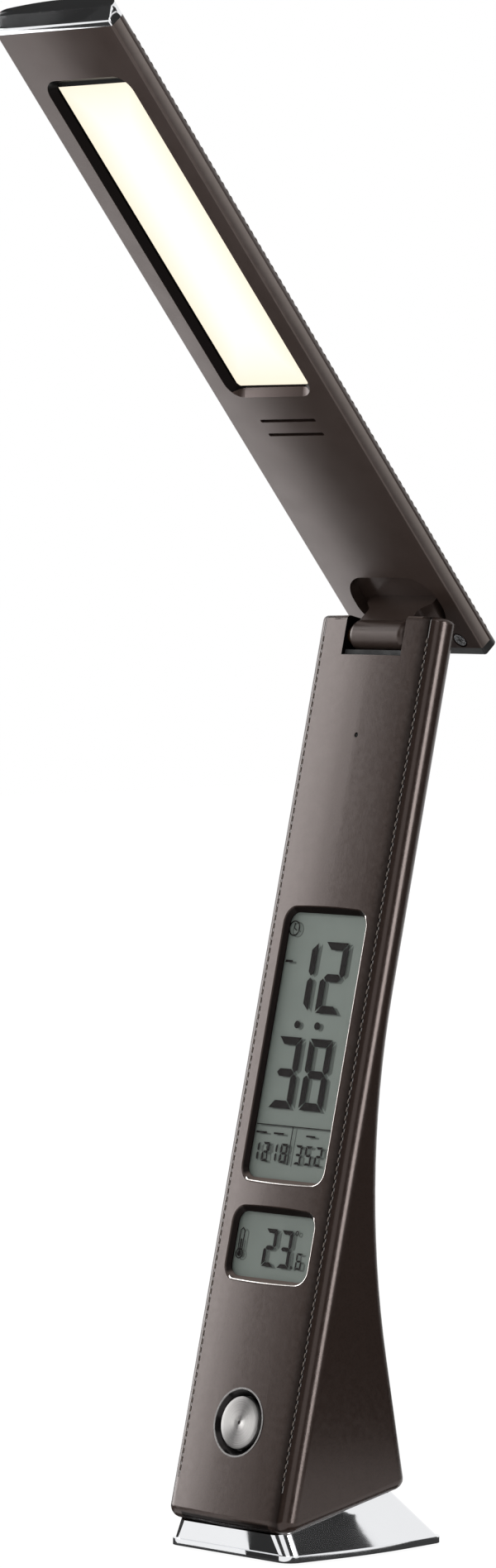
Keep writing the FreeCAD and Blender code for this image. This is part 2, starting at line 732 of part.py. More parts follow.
def battery_cradle():
    """Tray across the casing with a rim round the cell."""
    low = BATTERY_LOW - CRADLE_RIM
    high = BATTERY_HIGH + CRADLE_RIM
    rim_half = BATTERY_HALF + CRADLE_RIM
    tray = pane(STAND_HALF - SIDE_WALL, low, high, CRADLE_FRONT, CRADLE_BACK, CRADLE_CORNER)
    rim_back = CRADLE_BACK + BATTERY_THICK / 2
    tray = tray.fuse(pane(rim_half, low, high, CRADLE_BACK, rim_back, CRADLE_CORNER))
    room = pane(BATTERY_HALF + BATTERY_PLAY, BATTERY_LOW - BATTERY_PLAY, BATTERY_HIGH + BATTERY_PLAY,
                CRADLE_BACK, CRADLE_BACK + BATTERY_THICK, BATTERY_R)
    return placed(tray.cut(room).removeSplitter(), STAND)


def battery_cell():
    """Flat rechargeable cell."""
    back = CRADLE_BACK + BATTERY_THICK
    return placed(pane(BATTERY_HALF, BATTERY_LOW, BATTERY_HIGH, CRADLE_BACK, back, BATTERY_R), STAND)


def set_cap(rise):
    """Setting button with a flange inside the rear cover."""
    inner = STAND_THICK - REAR_WALL - SET_PLAY
    flange = rod(SET_FLANGE_R, V(0, inner - SET_FLANGE, rise), V(0, inner, rise))
    cap = rod(SET_R, V(0, inner - SET_FLANGE, rise), V(0, STAND_THICK + SET_PROUD, rise))
    return placed(flange.fuse(cap), STAND)


def set_switches():
    """Three flat push switches on the back of the display board."""
    half = SET_SWITCH_HALF
    switches = []
    for rise in SET_RISES.values():
        back = DISPLAY_BACK + SET_SWITCH
        switches.append(pane(half, rise - half, rise + half, DISPLAY_BACK, back, SET_SWITCH_CORNER))
    return placed(group(switches), STAND)


def cover_screws():
    return placed(group([small_screw(seat, run) for seat, run in cover_screw_seats()]), STAND)


def stand_lead():
    return placed(lead(stand_lead_points(), LEAD_R, LEAD_BEND), STAND)


def hinge_pins():
    """Two hollow stub pins pressed into the ears."""
    bores = hinge_bore(PIN_BORE_R, PIN_INNER - OVER, PIN_OUTER + OVER)
    return placed(group([pin.cut(bores) for pin in hinge_bore(PIN_R, PIN_INNER, PIN_OUTER)]), STAND)


def hinge_washers():
    """Thin friction washers beside the ears."""
    rings = hinge_bore(WASHER_R, NOTCH_HALF - WASHER_THICK, NOTCH_HALF)
    holes = hinge_bore(PIN_R + PIN_PLAY, NOTCH_HALF - WASHER_THICK - OVER, NOTCH_HALF + OVER)
    return placed(group([ring.cut(holes) for ring in rings]), STAND)


def knuckle_bore(radius, inner, outer):
    """Two bars on the pin axis, one each side, in the head's frame."""
    bars = []
    for side in (-1, 1):
        start = V(side * inner, -HINGE_DROP, HINGE_RUN)
        bars.append(rod(radius, start, V(side * outer, -HINGE_DROP, HINGE_RUN)))
    return bars


def knuckle_screw_seats():
    return [V(side, POCKET_ROOF, HINGE_RUN) for side in (-KNUCKLE_SCREW_X, KNUCKLE_SCREW_X)]


def head_lead_points():
    """The lamp's lead from the hollow pin up the lug and along the head to a light strip."""
    strip_x = LIGHT_HALF + PANE_LAP + CHIP_GAP + CHIP_THICK + LED_BOARD / 2
    roof = POCKET_ROOF + LEAD_R + LEAD_PLAY * 2
    return [
        V(PIN_INNER - LEAD_PLAY, -HINGE_DROP, HINGE_RUN),
        V(0, -HINGE_DROP, HINGE_RUN),
        V(0, roof, HINGE_RUN),
        V(0, roof, HEAD_LEAD_TURN),
        V(strip_x, HEAD_PLATE + DIFFUSER, LIGHT_LOW - HEAD_LEAD_TAIL),
        V(strip_x, HEAD_PLATE + DIFFUSER, LIGHT_LOW),
    ]


def hinge_knuckle():
    """Barrel on the pin axis with the lug that carries the head."""
    start = V(-BARREL_HALF, -HINGE_DROP, HINGE_RUN)
    barrel = rod(BARREL_R, start, V(BARREL_HALF, -HINGE_DROP, HINGE_RUN))
    rims = [edge for edge in barrel.Edges if isinstance(edge.Curve, Part.Circle)]
    barrel = barrel.makeFillet(BARREL_END_R, rims)
    neck = BARREL_HALF - LUG_NECK_INSET
    straight = LUG_STRAIGHT - HINGE_DROP
    front = HINGE_RUN - LUG_HALF_THICK
    right_side = [
        V(neck, -HINGE_DROP, front),
        V(neck, straight, front),
        V(LUG_FOOT_HALF, LUG_FOOT_RISE, front),
        V(LUG_FOOT_HALF, POCKET_DEPTH, front),
    ]
    left_side = [V(-point.x, point.y, point.z) for point in reversed(right_side)]
    lug = prism(right_side + left_side, [0, LUG_R, LUG_R, 0] * 2, V(0, 0, 2 * LUG_HALF_THICK))
    knuckle = barrel.fuse(lug)
    holes = knuckle_bore(BUSH_R + PRESS_PLAY, PIN_INNER, BARREL_HALF + OVER)
    holes.append(lead(head_lead_points()[:3], LEAD_R + LEAD_PLAY, LEAD_BEND))
    for seat in knuckle_screw_seats():
        holes.append(rod(SCREW_R + SCREW_PLAY, seat, seat - V(0, KNUCKLE_SCREW_LENGTH + OVER / 2, 0)))
    return placed(knuckle.cut(holes).removeSplitter(), HEAD)


def hinge_bushes():
    """Two plain bushes that turn on the pins."""
    bores = knuckle_bore(PIN_R + PIN_PLAY, PIN_INNER - OVER, BARREL_HALF + OVER)
    return placed(group([bush.cut(bores) for bush in knuckle_bore(BUSH_R, PIN_INNER, BARREL_HALF)]), HEAD)


def knuckle_screws():
    screws = []
    for seat in knuckle_screw_seats():
        screws.append(screw(seat, V(0, -1, 0), SCREW_R, SCREW_HEAD_R, SCREW_HEAD, KNUCKLE_SCREW_LENGTH))
    return placed(group(screws), HEAD)


def head_section(foot, side_inset, top_inset, low, high):
    """Length of the head's crowned section, from a height above its underside."""
    half = HEAD_HALF - side_inset
    pitch = math.radians(CROWN_PITCH)
    shoulder = HEAD_SHOULDER - top_inset
    radius = (half / math.cos(pitch) - CROWN_SHOULDER_RUN) / math.tan(pitch)
    points = [
        V(-half, foot, low),
        V(half, foot, low),
        V(half, shoulder, low),
        V(0, shoulder + half * math.tan(pitch), low),
        V(-half, shoulder, low),
    ]
    lower_r = 0 if foot else LOWER_EDGE_R
    shoulder_r = SHOULDER_R - top_inset
    return prism(points, [lower_r, lower_r, shoulder_r, radius, shoulder_r], V(0, 0, high - low))


def head_screw_places():
    return [V(side, 0, HEAD_SCREW_RUN) for side in (-HEAD_SCREW_X, HEAD_SCREW_X)]


def head_screw_seat(place):
    """Bearing of a head screw, sunk just below the underside."""
    return place + V(0, SCREW_HEAD + SCREW_PLAY * 2, 0)


def head_lower_cover():
    """Underside of the head, with the light's opening, cooling slots and hollow for the lug."""
    tall = V(0, HEAD_SPLIT, 0)
    base = [V(-HEAD_HALF, 0, TAIL_CAP), V(HEAD_HALF, 0, TAIL_CAP)]
    corners = base + [point + tall for point in reversed(base)]
    cover = prism(corners, [LOWER_EDGE_R, LOWER_EDGE_R, 0, 0], V(0, 0, HEAD_LENGTH - TAIL_CAP))
    inner_half = HEAD_HALF - HEAD_SIDE_WALL
    cover = cover.cut(pane(inner_half, HEAD_CAVITY_LOW, HEAD_CAVITY_HIGH, HEAD_PLATE, HEAD_SPLIT + OVER,
                          HEAD_CAVITY_CORNER))
    cup = pane(POCKET_HALF + POCKET_WALL, POCKET_LOW - POCKET_WALL, POCKET_HIGH + POCKET_WALL,
               0, POCKET_ROOF, POCKET_R + POCKET_WALL)
    cover = cover.fuse(cup)
    cutters = [
        pane(POCKET_HALF, POCKET_LOW, POCKET_HIGH, -OVER, POCKET_DEPTH, POCKET_R),
        bevelled_opening(LIGHT_HALF, LIGHT_LOW, LIGHT_HIGH, LIGHT_CORNER, HEAD_PLATE),
        rod(LEAD_R + LEAD_PLAY * 2, V(0, 0, HINGE_RUN), V(0, POCKET_ROOF + OVER, HINGE_RUN)),
    ]
    for run in SLOT_RUNS:
        half = SLOT_WIDTH / 2
        cutters.append(pane(SLOT_HALF, run - half, run + half, -OVER, HEAD_PLATE + OVER, half))
    for seat in knuckle_screw_seats():
        cutters.append(rod(SCREW_R + SCREW_PLAY, seat, seat - V(0, POCKET_WALL + OVER, 0)))
    for place in head_screw_places():
        seat = head_screw_seat(place)
        cutters.append(rod(SCREW_HEAD_R + HEAD_SINK_PLAY, place - V(0, OVER, 0), seat))
        cutters.append(rod(SCREW_R + SCREW_PLAY, place, place + tall))
        boss_foot = place + V(0, HEAD_PLATE, 0)
        cutters.append(rod(HEAD_BOSS_R + PRESS_PLAY, boss_foot, place + tall + V(0, OVER, 0)))
    return placed(cover.cut(cutters).removeSplitter(), HEAD)


def head_upper_cover():
    """Crowned outer skin of the head, with the screw bosses inside its tail."""
    cover = head_section(HEAD_SPLIT, 0, 0, TAIL_CAP, HEAD_LENGTH)
    room = head_section(HEAD_SPLIT - OVER, HEAD_SIDE_WALL, HEAD_TOP_WALL, HEAD_CAVITY_LOW, HEAD_CAVITY_HIGH)
    outside = head_section(0, 0, 0, TAIL_CAP, HEAD_LENGTH)
    crown = V(0, HEAD_SHOULDER + HEAD_HALF, 0)
    cover = cover.cut(room)
    for place in head_screw_places():
        boss = rod(HEAD_BOSS_R, place + V(0, HEAD_PLATE, 0), place + crown)
        cover = cover.fuse(boss.common(outside))
        seat = head_screw_seat(place)
        cover = cover.cut(rod(SCREW_R + SCREW_PLAY, place, seat + V(0, SCREW_GRIP, 0)))
    return placed(cover.removeSplitter(), HEAD)


def head_screws():
    seats = [head_screw_seat(place) for place in head_screw_places()]
    return placed(group([small_screw(seat, V(0, 1, 0)) for seat in seats]), HEAD)


def tail_cap():
    return placed(head_section(0, 0, 0, 0, TAIL_CAP), HEAD)


def tip_cap():
    """Bright end piece with a sloped lower face."""
    tip = HEAD_LENGTH + TIP_CAP
    cap = head_section(0, 0, 0, HEAD_LENGTH, tip)
    side = -HEAD_HALF - OVER
    slope = [
        V(side, 0, tip - TIP_CHAMFER_RUN),
        V(side, TIP_CHAMFER_RISE, tip),
        V(side, TIP_CHAMFER_RISE, tip + OVER),
        V(side, -OVER, tip + OVER),
        V(side, -OVER, tip - TIP_CHAMFER_RUN),
    ]
    return placed(cap.cut(prism(slope, [0] * 5, V(HEAD_WIDTH + 2 * OVER, 0, 0))), HEAD)


def light_sheet(half, front, back):
    """Sheet of the light panel's stack."""
    return placed(pane(half, LIGHT_LOW - PANE_LAP, LIGHT_HIGH + PANE_LAP, front, back, PANE_CORNER), HEAD)


def led_boards():
    """Strip along each side of the light guide."""
    inner = LIGHT_HALF + PANE_LAP + CHIP_GAP + CHIP_THICK
    top = HEAD_PLATE + DIFFUSER + GUIDE - LED_BOARD_DROP
    strips = []
    for start in (inner, -inner - LED_BOARD):
        strips.append(box(V(start, HEAD_PLATE, LIGHT_LOW), V(start + LED_BOARD, top, LIGHT_HIGH)))
    return placed(group(strips), HEAD)


def led_chips():
    """Row of light-emitting chips on each strip, facing the guide's edge."""
    inner = LIGHT_HALF + PANE_LAP + CHIP_GAP
    low = HEAD_PLATE + DIFFUSER
    high = low + GUIDE - LED_BOARD_DROP
    count = int((LIGHT_HIGH - LIGHT_LOW - CHIP_LENGTH) / CHIP_PITCH)
    first = (LIGHT_LOW + LIGHT_HIGH - CHIP_LENGTH - (count - 1) * CHIP_PITCH) / 2
    chips = []
    for start in (inner, -inner - CHIP_THICK):
        for index in range(count):
            run = first + index * CHIP_PITCH
            chips.append(box(V(start, low, run), V(start + CHIP_THICK, high, run + CHIP_LENGTH)))
    return placed(group(chips), HEAD)


def head_lead():
    return placed(lead(head_lead_points(), LEAD_R, LEAD_BEND), HEAD)


def six_corners(front_half, middle_half, rear_half, front, middle, rear):
    """Plan of the foot: straight front and rear, sides that swell between."""
    right = [front + V(front_half, 0, 0), middle + V(middle_half, 0, 0), rear + V(rear_half, 0, 0)]
    left = [rear - V(rear_half, 0, 0), middle - V(middle_half, 0, 0), front - V(front_half, 0, 0)]
    return right + left


def lip_outline(inset, height):
    """Plan of the foot's lip at one height, set in from its outer edge."""
    middle_y = (LIP_FRONT_Y + LIP_REAR_Y) / 2
    points = six_corners(
        LIP_FRONT_HALF - inset, LIP_MIDDLE_HALF - inset, LIP_REAR_HALF - inset,
        V(0, LIP_FRONT_Y + inset, height), V(0, middle_y, height), V(0, LIP_REAR_Y - inset, height),
    )
    return outline(points, [LIP_CORNER_R, LIP_SIDE_R, LIP_CORNER_R] * 2)


def flare_outline():
    """Where the foot's flare meets the casing, on the casing's sloped lower face."""
    rear_edge = STAND.multVec(meet(REAR_FOOT, REAR_UP, PARTING_EDGE, PARTING))
    front = PARTING_FRONT + PARTING_RUN * FLARE_INSET
    rear = rear_edge - PARTING_RUN * FLARE_INSET
    half = STAND_HALF - FLARE_INSET
    points = six_corners(half, half + FLARE_BULGE, half, front, (front + rear) / 2, rear)
    return outline(points, [LIP_CORNER_R, LIP_SIDE_R, LIP_CORNER_R] * 2)


def hollow(inset, low):
    """Space inside the foot, under its sloped top."""
    roof = PLINTH_WALL + inset
    side = -HOLLOW_HALF + inset
    front = HOLLOW_FRONT_Y + inset
    rear = HOLLOW_REAR_Y - inset
    top_rear = HOLLOW_TOP_REAR_Y - inset
    points = [
        V(side, front, low),
        V(side, rear, low),
        V(side, rear, PLATE_TOP + HOLLOW_SIDE - inset),
        V(side, top_rear, parting_height(top_rear) - roof),
        V(side, front, parting_height(front) - roof),
    ]
    return prism(points, [0] * 5, V(-2 * side, 0, 0))


def base_plinth():
    """Bright flared foot with a stepped lip, hollow for the weight."""
    lip_top = LIP_CLEAR + LIP_HEIGHT
    flare = Part.makeLoft([lip_outline(LIP_STEP, lip_top), flare_outline()], True, True)
    lip = Part.Face(lip_outline(0, LIP_CLEAR)).extrude(V(0, 0, LIP_HEIGHT))
    plinth = flare.fuse(lip)
    cutters = [hollow(0, -OVER), foot_plate(PLATE_PLAY, -OVER, PLATE_TOP)]
    for place in base_screw_places():
        cutters.append(rod(BASE_SCREW_R + SCREW_PLAY, place, place + V(0, 0, parting_height(place.y) + OVER)))
    return plinth.cut(cutters).removeSplitter()


def foot_plate(grow, low, high):
    """Flat plate of the foot's underside."""
    half = PLATE_HALF + grow
    deep = PLATE_HALF_DEPTH + grow
    corners = [V(-half, -deep, low), V(half, -deep, low), V(half, deep, low), V(-half, deep, low)]
    return prism(corners, [PLATE_CORNER] * 4, V(0, 0, high - low))


def base_plate():
    """Steel plate under the weight, with sunk screw heads."""
    plate = foot_plate(0, PAD_THICK, PLATE_TOP)
    holes = []
    for place in base_screw_places():
        head_top = V(0, 0, PAD_THICK + BASE_SCREW_HEAD)
        holes.append(rod(BASE_SCREW_HEAD_R + SCREW_PLAY, place, place + head_top))
        holes.append(rod(BASE_SCREW_R + SCREW_PLAY, place, place + V(0, 0, PLATE_TOP + OVER)))
    return plate.cut(holes)


def base_weight():
    """Iron block that keeps the lamp upright."""
    weight = hollow(WEIGHT_PLAY, PLATE_TOP)
    holes = []
    for place in base_screw_places():
        holes.append(rod(BASE_SCREW_R + WEIGHT_PLAY, place, place + V(0, 0, parting_height(place.y))))
    return weight.cut(holes)


def base_screws():
    screws = []
    for place in base_screw_places():
        seat = place + V(0, 0, PAD_THICK + BASE_SCREW_HEAD)
        grip = parting_height(place.y) + BASE_SCREW_GRIP - seat.z - OVER
        screws.append(screw(seat, V(0, 0, 1), BASE_SCREW_R, BASE_SCREW_HEAD_R, BASE_SCREW_HEAD, grip))
    return group(screws)


def foot_pad():
    """Rubber sole, the lowest face of the lamp."""
    return foot_plate(-PAD_INSET, 0, PAD_THICK)


def build():
    """All pieces by name."""
    diffuser_back = HEAD_PLATE + DIFFUSER
    guide_back = diffuser_back + GUIDE
    sheet_half = LIGHT_HALF + PANE_LAP
    pieces = {
        "foot_pad": foot_pad(),
        "base_plate": base_plate(),
        "base_weight": base_weight(),
        "base_plinth": base_plinth(),
        "base_screws": base_screws(),
        "stand_front_shell": stand_front_shell(),
        "stand_rear_cover": stand_rear_cover(),
        "cover_screws": cover_screws(),
        "clock_lens": display_pane(CLOCK_LOW, CLOCK_HIGH, FRONT_WALL, LENS_BACK),
        "clock_lcd": display_pane(CLOCK_LOW, CLOCK_HIGH, LENS_BACK, LCD_BACK),
        "thermometer_lens": display_pane(THERMO_LOW, THERMO_HIGH, FRONT_WALL, LENS_BACK),
        "thermometer_lcd": display_pane(THERMO_LOW, THERMO_HIGH, LENS_BACK, LCD_BACK),
        "display_board": display_board(),
        "charge_indicator": charge_indicator(),
        "buzzer": buzzer(),
        "set_switches": set_switches(),
        "button_bezel": button_bezel(),
        "power_button": power_button(),
        "power_switch": power_switch(),
        "control_board": control_board(),
        "board_screws": board_screws(),
        "battery_cradle": battery_cradle(),
        "battery_cell": battery_cell(),
        "charge_port": charge_port(),
        "port_board": port_board(),
        "stand_lead": stand_lead(),
        "hinge_pins": hinge_pins(),
        "hinge_washers": hinge_washers(),
        "hinge_knuckle": hinge_knuckle(),
        "hinge_bushes": hinge_bushes(),
        "knuckle_screws": knuckle_screws(),
        "head_lower_cover": head_lower_cover(),
        "head_upper_cover": head_upper_cover(),
        "head_screws": head_screws(),
        "tip_cap": tip_cap(),
        "tail_cap": tail_cap(),
        "led_diffuser": light_sheet(sheet_half, HEAD_PLATE, diffuser_back),
        "light_guide": light_sheet(sheet_half, diffuser_back, guide_back),
        "reflector_sheet": light_sheet(LIGHT_HALF, guide_back, guide_back + REFLECTOR),
        "led_boards": led_boards(),
        "led_chips": led_chips(),
        "head_lead": head_lead(),
    }
    for name, rise in SET_RISES.items():
        pieces[name] = set_cap(rise)
    return pieces


def main():
    os.makedirs("parts", exist_ok=True)
    for name, shape in build().items():
        shape.exportStep(os.path.join("parts", name + ".step"))
        print(name, len(shape.Solids), shape.isValid(), round(shape.Volume, 1))
    print("hinge axis", HINGE_POINT)


main()
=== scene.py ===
"""Looks of a folding LED desk lamp: stitched leather, chrome, displays and lit panel on its solids."""

import json
import math

import bmesh
import bpy
from bpy.props import FloatProperty, FloatVectorProperty, IntProperty, PointerProperty
from mathutils import Matrix, Vector

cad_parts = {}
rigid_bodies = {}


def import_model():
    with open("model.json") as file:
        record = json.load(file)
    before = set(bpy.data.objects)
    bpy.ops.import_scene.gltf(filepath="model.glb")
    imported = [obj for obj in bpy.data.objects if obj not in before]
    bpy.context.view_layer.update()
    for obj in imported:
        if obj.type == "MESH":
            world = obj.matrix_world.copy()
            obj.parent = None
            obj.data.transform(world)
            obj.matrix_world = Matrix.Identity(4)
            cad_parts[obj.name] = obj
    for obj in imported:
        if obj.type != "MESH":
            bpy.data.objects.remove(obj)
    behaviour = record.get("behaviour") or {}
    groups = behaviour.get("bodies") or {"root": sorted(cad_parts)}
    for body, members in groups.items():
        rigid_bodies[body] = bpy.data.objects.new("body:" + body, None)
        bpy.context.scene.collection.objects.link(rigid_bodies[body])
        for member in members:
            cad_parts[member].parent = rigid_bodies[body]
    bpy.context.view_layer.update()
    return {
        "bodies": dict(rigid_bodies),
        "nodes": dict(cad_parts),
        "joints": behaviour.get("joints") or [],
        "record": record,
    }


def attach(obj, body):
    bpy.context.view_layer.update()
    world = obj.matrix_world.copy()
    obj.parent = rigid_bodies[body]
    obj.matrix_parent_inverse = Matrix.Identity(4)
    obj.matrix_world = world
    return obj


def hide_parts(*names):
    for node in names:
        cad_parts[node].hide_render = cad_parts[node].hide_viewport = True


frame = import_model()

bl_info = {
    "name": "Folding desk lamp",
    "version": (1, 0, 0),
    "blender": (4, 5, 0),
    "location": "View3D > Sidebar > Lamp",
    "description": "Dresses the solids of a folding LED desk lamp",
    "category": "Object",
}

MM = 0.001
JOINTS = {joint["name"]: joint for joint in frame["joints"]}
SLOT_OF = {part["node"]: part["material_slot"] for part in frame["record"]["subparts"]}

# Frames of the stand and the head, in which pieces are drawn in millimetres:
# x across, y into the piece from its working face, z along it from its lower end
HINGE_POINT = Vector(JOINTS["head_fold"]["pos_m"])
INTO_STAND = Vector(JOINTS["power_press"]["axis"])
LEAN = math.atan2(-INTO_STAND.z, INTO_STAND.y)
HEAD_TILT = math.radians(50.08)
HINGE_IN_STAND = Vector((0, 5.0, 276.3))
HINGE_IN_HEAD = Vector((0, -10.1, 15.4))


def local_frame(turn, hinge):
    """Placement in metres of a frame in millimetres whose hinge lies on the pin axis."""
    return (Matrix.Translation(HINGE_POINT) @ Matrix.Rotation(turn, 4, "X")
            @ Matrix.Scale(MM, 4) @ Matrix.Translation(-hinge))


STAND_TURN = -LEAN
HEAD_TURN = math.pi / 2 - HEAD_TILT
STAND = local_frame(STAND_TURN, HINGE_IN_STAND)
HEAD = local_frame(HEAD_TURN, HINGE_IN_HEAD)

# Sizes of the solids that the looks follow, in millimetres
STAND_THICK = 10.0
FRONT_R = 275.0  # crown of the stand's front
FRONT_REACH = 3.0  # depth within which a face counts as the stand's front
LCD_FRONT = 3.0
WINDOW_HALF = 18.46
WINDOW_CORNER = 5.5
WINDOWS = {"clock": (109.9, 193.5), "thermometer": (80.45, 103.7)}  # lower and upper ends
NOTCH_HALF = 12.55  # notch for the hinge at the stand's top
NOTCH_FLOOR = 269.5
BARREL_R = 4.7
BUTTON_RISE = 39.8
BUTTON_R = 7.8
FLANGE_R = 8.8  # flange and stem behind the power button's face
FLANGE_FRONT = 3.7
FLANGE_BACK = 4.7
STEM_R = 2.0
STEM_END = 5.8
BEZEL_R = 10.3
SET_CAP_BACK = 10.5
SET_RISES = {"down": 212.0, "set": 221.0, "up": 230.0}
REAR_SLOPE = math.radians(10.8)
REAR_FOOT = Vector((0, 18.0, 20.0))  # foot of the rear slope, in the lamp's own frame
COVER_SCREW_X = 12.0
COVER_SCREW_LOW = 40.0
COVER_SCREW_HIGH = 261.0
HEAD_HALF = 24.75
HEAD_LENGTH = 231.4
HEAD_SCREW = Vector((17.0, 0.1, 5.3))
SHOULDER_R = 2.8  # rounded long edges of the head's back
SHOULDER_CENTRE_Y = 3.87
LIGHT_HALF = 17.81
LIGHT_LOW = 98.57
LIGHT_HIGH = 214.42
LIGHT_MIDDLE = (LIGHT_LOW + LIGHT_HIGH) / 2
LIGHT_BEVEL = 2.0

# Trims and marks that only the looks have, in millimetres
RIM_R = 0.55  # eased rim of a window
RIM_IN = 0.3
RIM_DIVE = 1.0  # how far the rim dives into the leather at the left and above
SHADE_STRIP_PLAY = 0.3  # dark strip under the hinge barrel that stands in for the shade in the notch
SHADE_STRIP_FRONT = 1.2
SHADE_STRIP_BACK = 8.8
SHADE_STRIP_EASE = 0.25
SEAM_LEAD = 1.5  # groove below a seam's first stitch
HEAD_SEAM_END = 5.0  # bare ends of the head's seams
HEAD_SEAM_TURN = math.radians(40)  # place of the head's seams round its shoulders
UNDERSIDE_R = 150.0  # faint crown of the head's underside
LIGHT_BORDER = 1.8  # printed black border of the light sheet
DISC_FRONT = 0.37  # face of the power button's disc
TIP_SHOWN = 4.5  # length of the bright tip
TIP_EASE = 0.3
CROSS_REACH = 1.1  # cross recess of a screw
CROSS_WIDTH = 0.45
MARK_REACH = 1.2  # marks of the setting buttons
MARK_WIDTH = 0.42
THIN = 0.05  # thickness of printed marks
LENS_PLAY = 0.12  # clear space between a display and its lens
FIGURE_LIFT = 0.4  # how far the figures and their shadows stand off the display's back
SHADOW_LIFT = 0.06
SHADOW_DROP = 0.25  # fall of the shadows, as a share of their sideways offset
MERGE = 1e-6  # loose corners of a solid's mesh nearer than this are one, in metres

# Layout of the displays, in millimetres across and up the stand
FIGURE_LEFT = -13.2
FIGURE_STEP = 13.0
FIGURE_GAP = 0.28
HOURS_LOW = 161.9
MINUTES_LOW = 132.9
DOTS = ((-6.7, 158.1), (1.8, 158.1))
DATE_FIGURES = {"12": -16.6, "18": -8.9, "352": 1.6}
DATE_LOW = 116.8
DATE_STEP = 4.3
DATE_SIZE = (2.9, 5.8, 0.75, 0.12)  # width, height, bar and gap of a figure
DEGREES_STEP = 6.6
DEGREES_SIZE = (4.9, 11.2, 1.25, 0.16)
TENTHS_SIZE = (2.5, 4.9, 0.6, 0.1)
RULE_RISE = 127.8
LABEL_RISE = 125.4
LABELS = ((-16.2, -11.6), (-8.6, -4.4), (5.2, 9.0))
CLOCK_SIGN = (-14.8, 186.7)
BULB = (-14.6, 89.0)  # bulb of the thermometer's sign

# Light and gloss
PAINTED_DISPLAY_GLOW = 0.12  # painted glow of the reflective displays, as a share of their colour
SHEEN = (1.0, 0.85, 0.81, 1.0)  # warm cast of the brown casing's gloss
UNDERSIDE_SHEEN = (0.94, 0.72, 0.68, 1.0)

# Studio, in metres and degrees
MIDDLE = Vector((0, 0, 0.22))
FLOOR_WIDTH = 8.0
FLOOR_GAP = 0.0003  # keeps the floor, its cards and the foot apart
WORLD_LIGHT = 0.42
CAMERA_SPOT = (1.3610, -1.29415, 0.30093)
CAMERA_YAW = 46.95
CAMERA_PITCH = -2.33
CAMERA_LENS = 146.93

# Lights: place, size and power
LIGHTS = {
    "key_softbox": ((-2.07, -0.76, 0.83), (1.5, 1.8), 33.0),
    "soft_fill": ((0.9, -1.6, 1.6), (0.8, 0.8), 3.0),
}

# Cards that only reflections show: place, width, height and brightness
CARDS = {
    "front_card": ((-0.50, -2.35, 1.0), 2.7, 2.4, 0.04),
    "right_card": ((2.32, -0.62, 1.0), 2.4, 2.4, 0.04),
    "side_card": ((1.7, 1.7, 0.1), 2.2, 1.0, 0.03),
    "edge_card": ((2.2, 0.0, 0.6), 0.9, 1.9, 10.0),
    "foot_side_card": ((0.85, 0.59, 0.66), 0.49, 0.23, 0.03),
    "tip_card": ((-0.40, -0.36, 0.61), 0.34, 0.16, 0.03),
    "tip_end_card": ((-0.40, 0.10, 0.80), 0.62, 0.40, 0.03),
}

# The same for cards that lie on the floor, with their turn after their place
FLOOR_CARDS = {
    "foot_card": ((-0.007, -0.051), 41.3, 0.060, 0.010, 0.03),
    "contact_card": ((0.0, 0.0025), 0.0, 0.074, 0.075, 0.05),
    "desk_dark_card": ((-0.295, -0.130), -40.4, 0.26, 0.50, 0.04),
    "desk_bright_card": ((-0.512, 0.053), -40.4, 0.30, 0.60, 2.0),
    "desk_side_card": ((0.95, 0.90), 43.0, 2.2, 1.3, 0.03),
}

# Which of a seven-segment figure's bars are lit, lettered round from the top and the middle bar last
LIT_BARS = {
    "0": "abcdef", "1": "bc", "2": "abged", "3": "abgcd", "4": "fgbc",
    "5": "afgcd", "6": "afgedc", "7": "abc", "8": "abcdefg", "9": "abcdfg",
}


def tone(red, green, blue):
    """Linear colour of a screen colour in 0 to 255."""
    shares = [value / 255 for value in (red, green, blue)]
    return tuple(s / 12.92 if s <= 0.04045 else ((s + 0.055) / 1.055) ** 2.4 for s in shares)


def colour_setting(label, text, colour):
    """Colour that a user may change."""
    return FloatVectorProperty(name=label, description=text, subtype="COLOR", default=tone(*colour),
                               min=0, max=1)


def length_setting(label, text, millimetres):
    """Length in metres that a user may change."""
    return FloatProperty(name=label, description=text, default=millimetres * MM, min=0, unit="LENGTH",
                         precision=5)


class LampColours(bpy.types.PropertyGroup):
    """Colours of the lamp's finishes."""

    leather: colour_setting("Leather", "Dyed leather of the stand and the head's back", (57, 45, 40))
    plastic: colour_setting("Brown plastic", "Moulded covers, dyed to match the leather", (60, 49, 44))
    black: colour_setting("Black plastic", "Tail cap, setting buttons and small parts inside", (22, 21, 21))
    thread: colour_setting("Thread", "Waxed sewing thread", (120, 107, 98))
    chrome: colour_setting("Chrome", "Plated foot and tip", (236, 237, 239))
    glass: colour_setting("Display glass", "Grey-green of a reflective display", (140, 149, 142))
    ink: colour_setting("Display ink", "Lit bars of the display", (24, 17, 16))
    shade: colour_setting("Display shade", "Shadow of the bars on the display's back", (104, 110, 105))
    glow: colour_setting("Light edge", "Cream light near the panel's rim", (255, 244, 222))


class LampStitching(bpy.types.PropertyGroup):
    """Sizes of the seams."""

    pitch: length_setting("Stitch pitch", "From one stitch to the next", 2.5)
    length: length_setting("Stitch length", "Thread that shows in one stitch", 1.75)
    thread: length_setting("Thread", "Thickness of the thread", 0.4)
    seam: length_setting("Seam offset", "From the stand's middle to its front seams", 22.0)
    low: length_setting("Seam foot", "Where the front seams start above the foot", 23.0)
    slant: FloatProperty(name="Slant", description="Turn of each stitch from its seam",
                         default=math.radians(7), subtype="ANGLE")


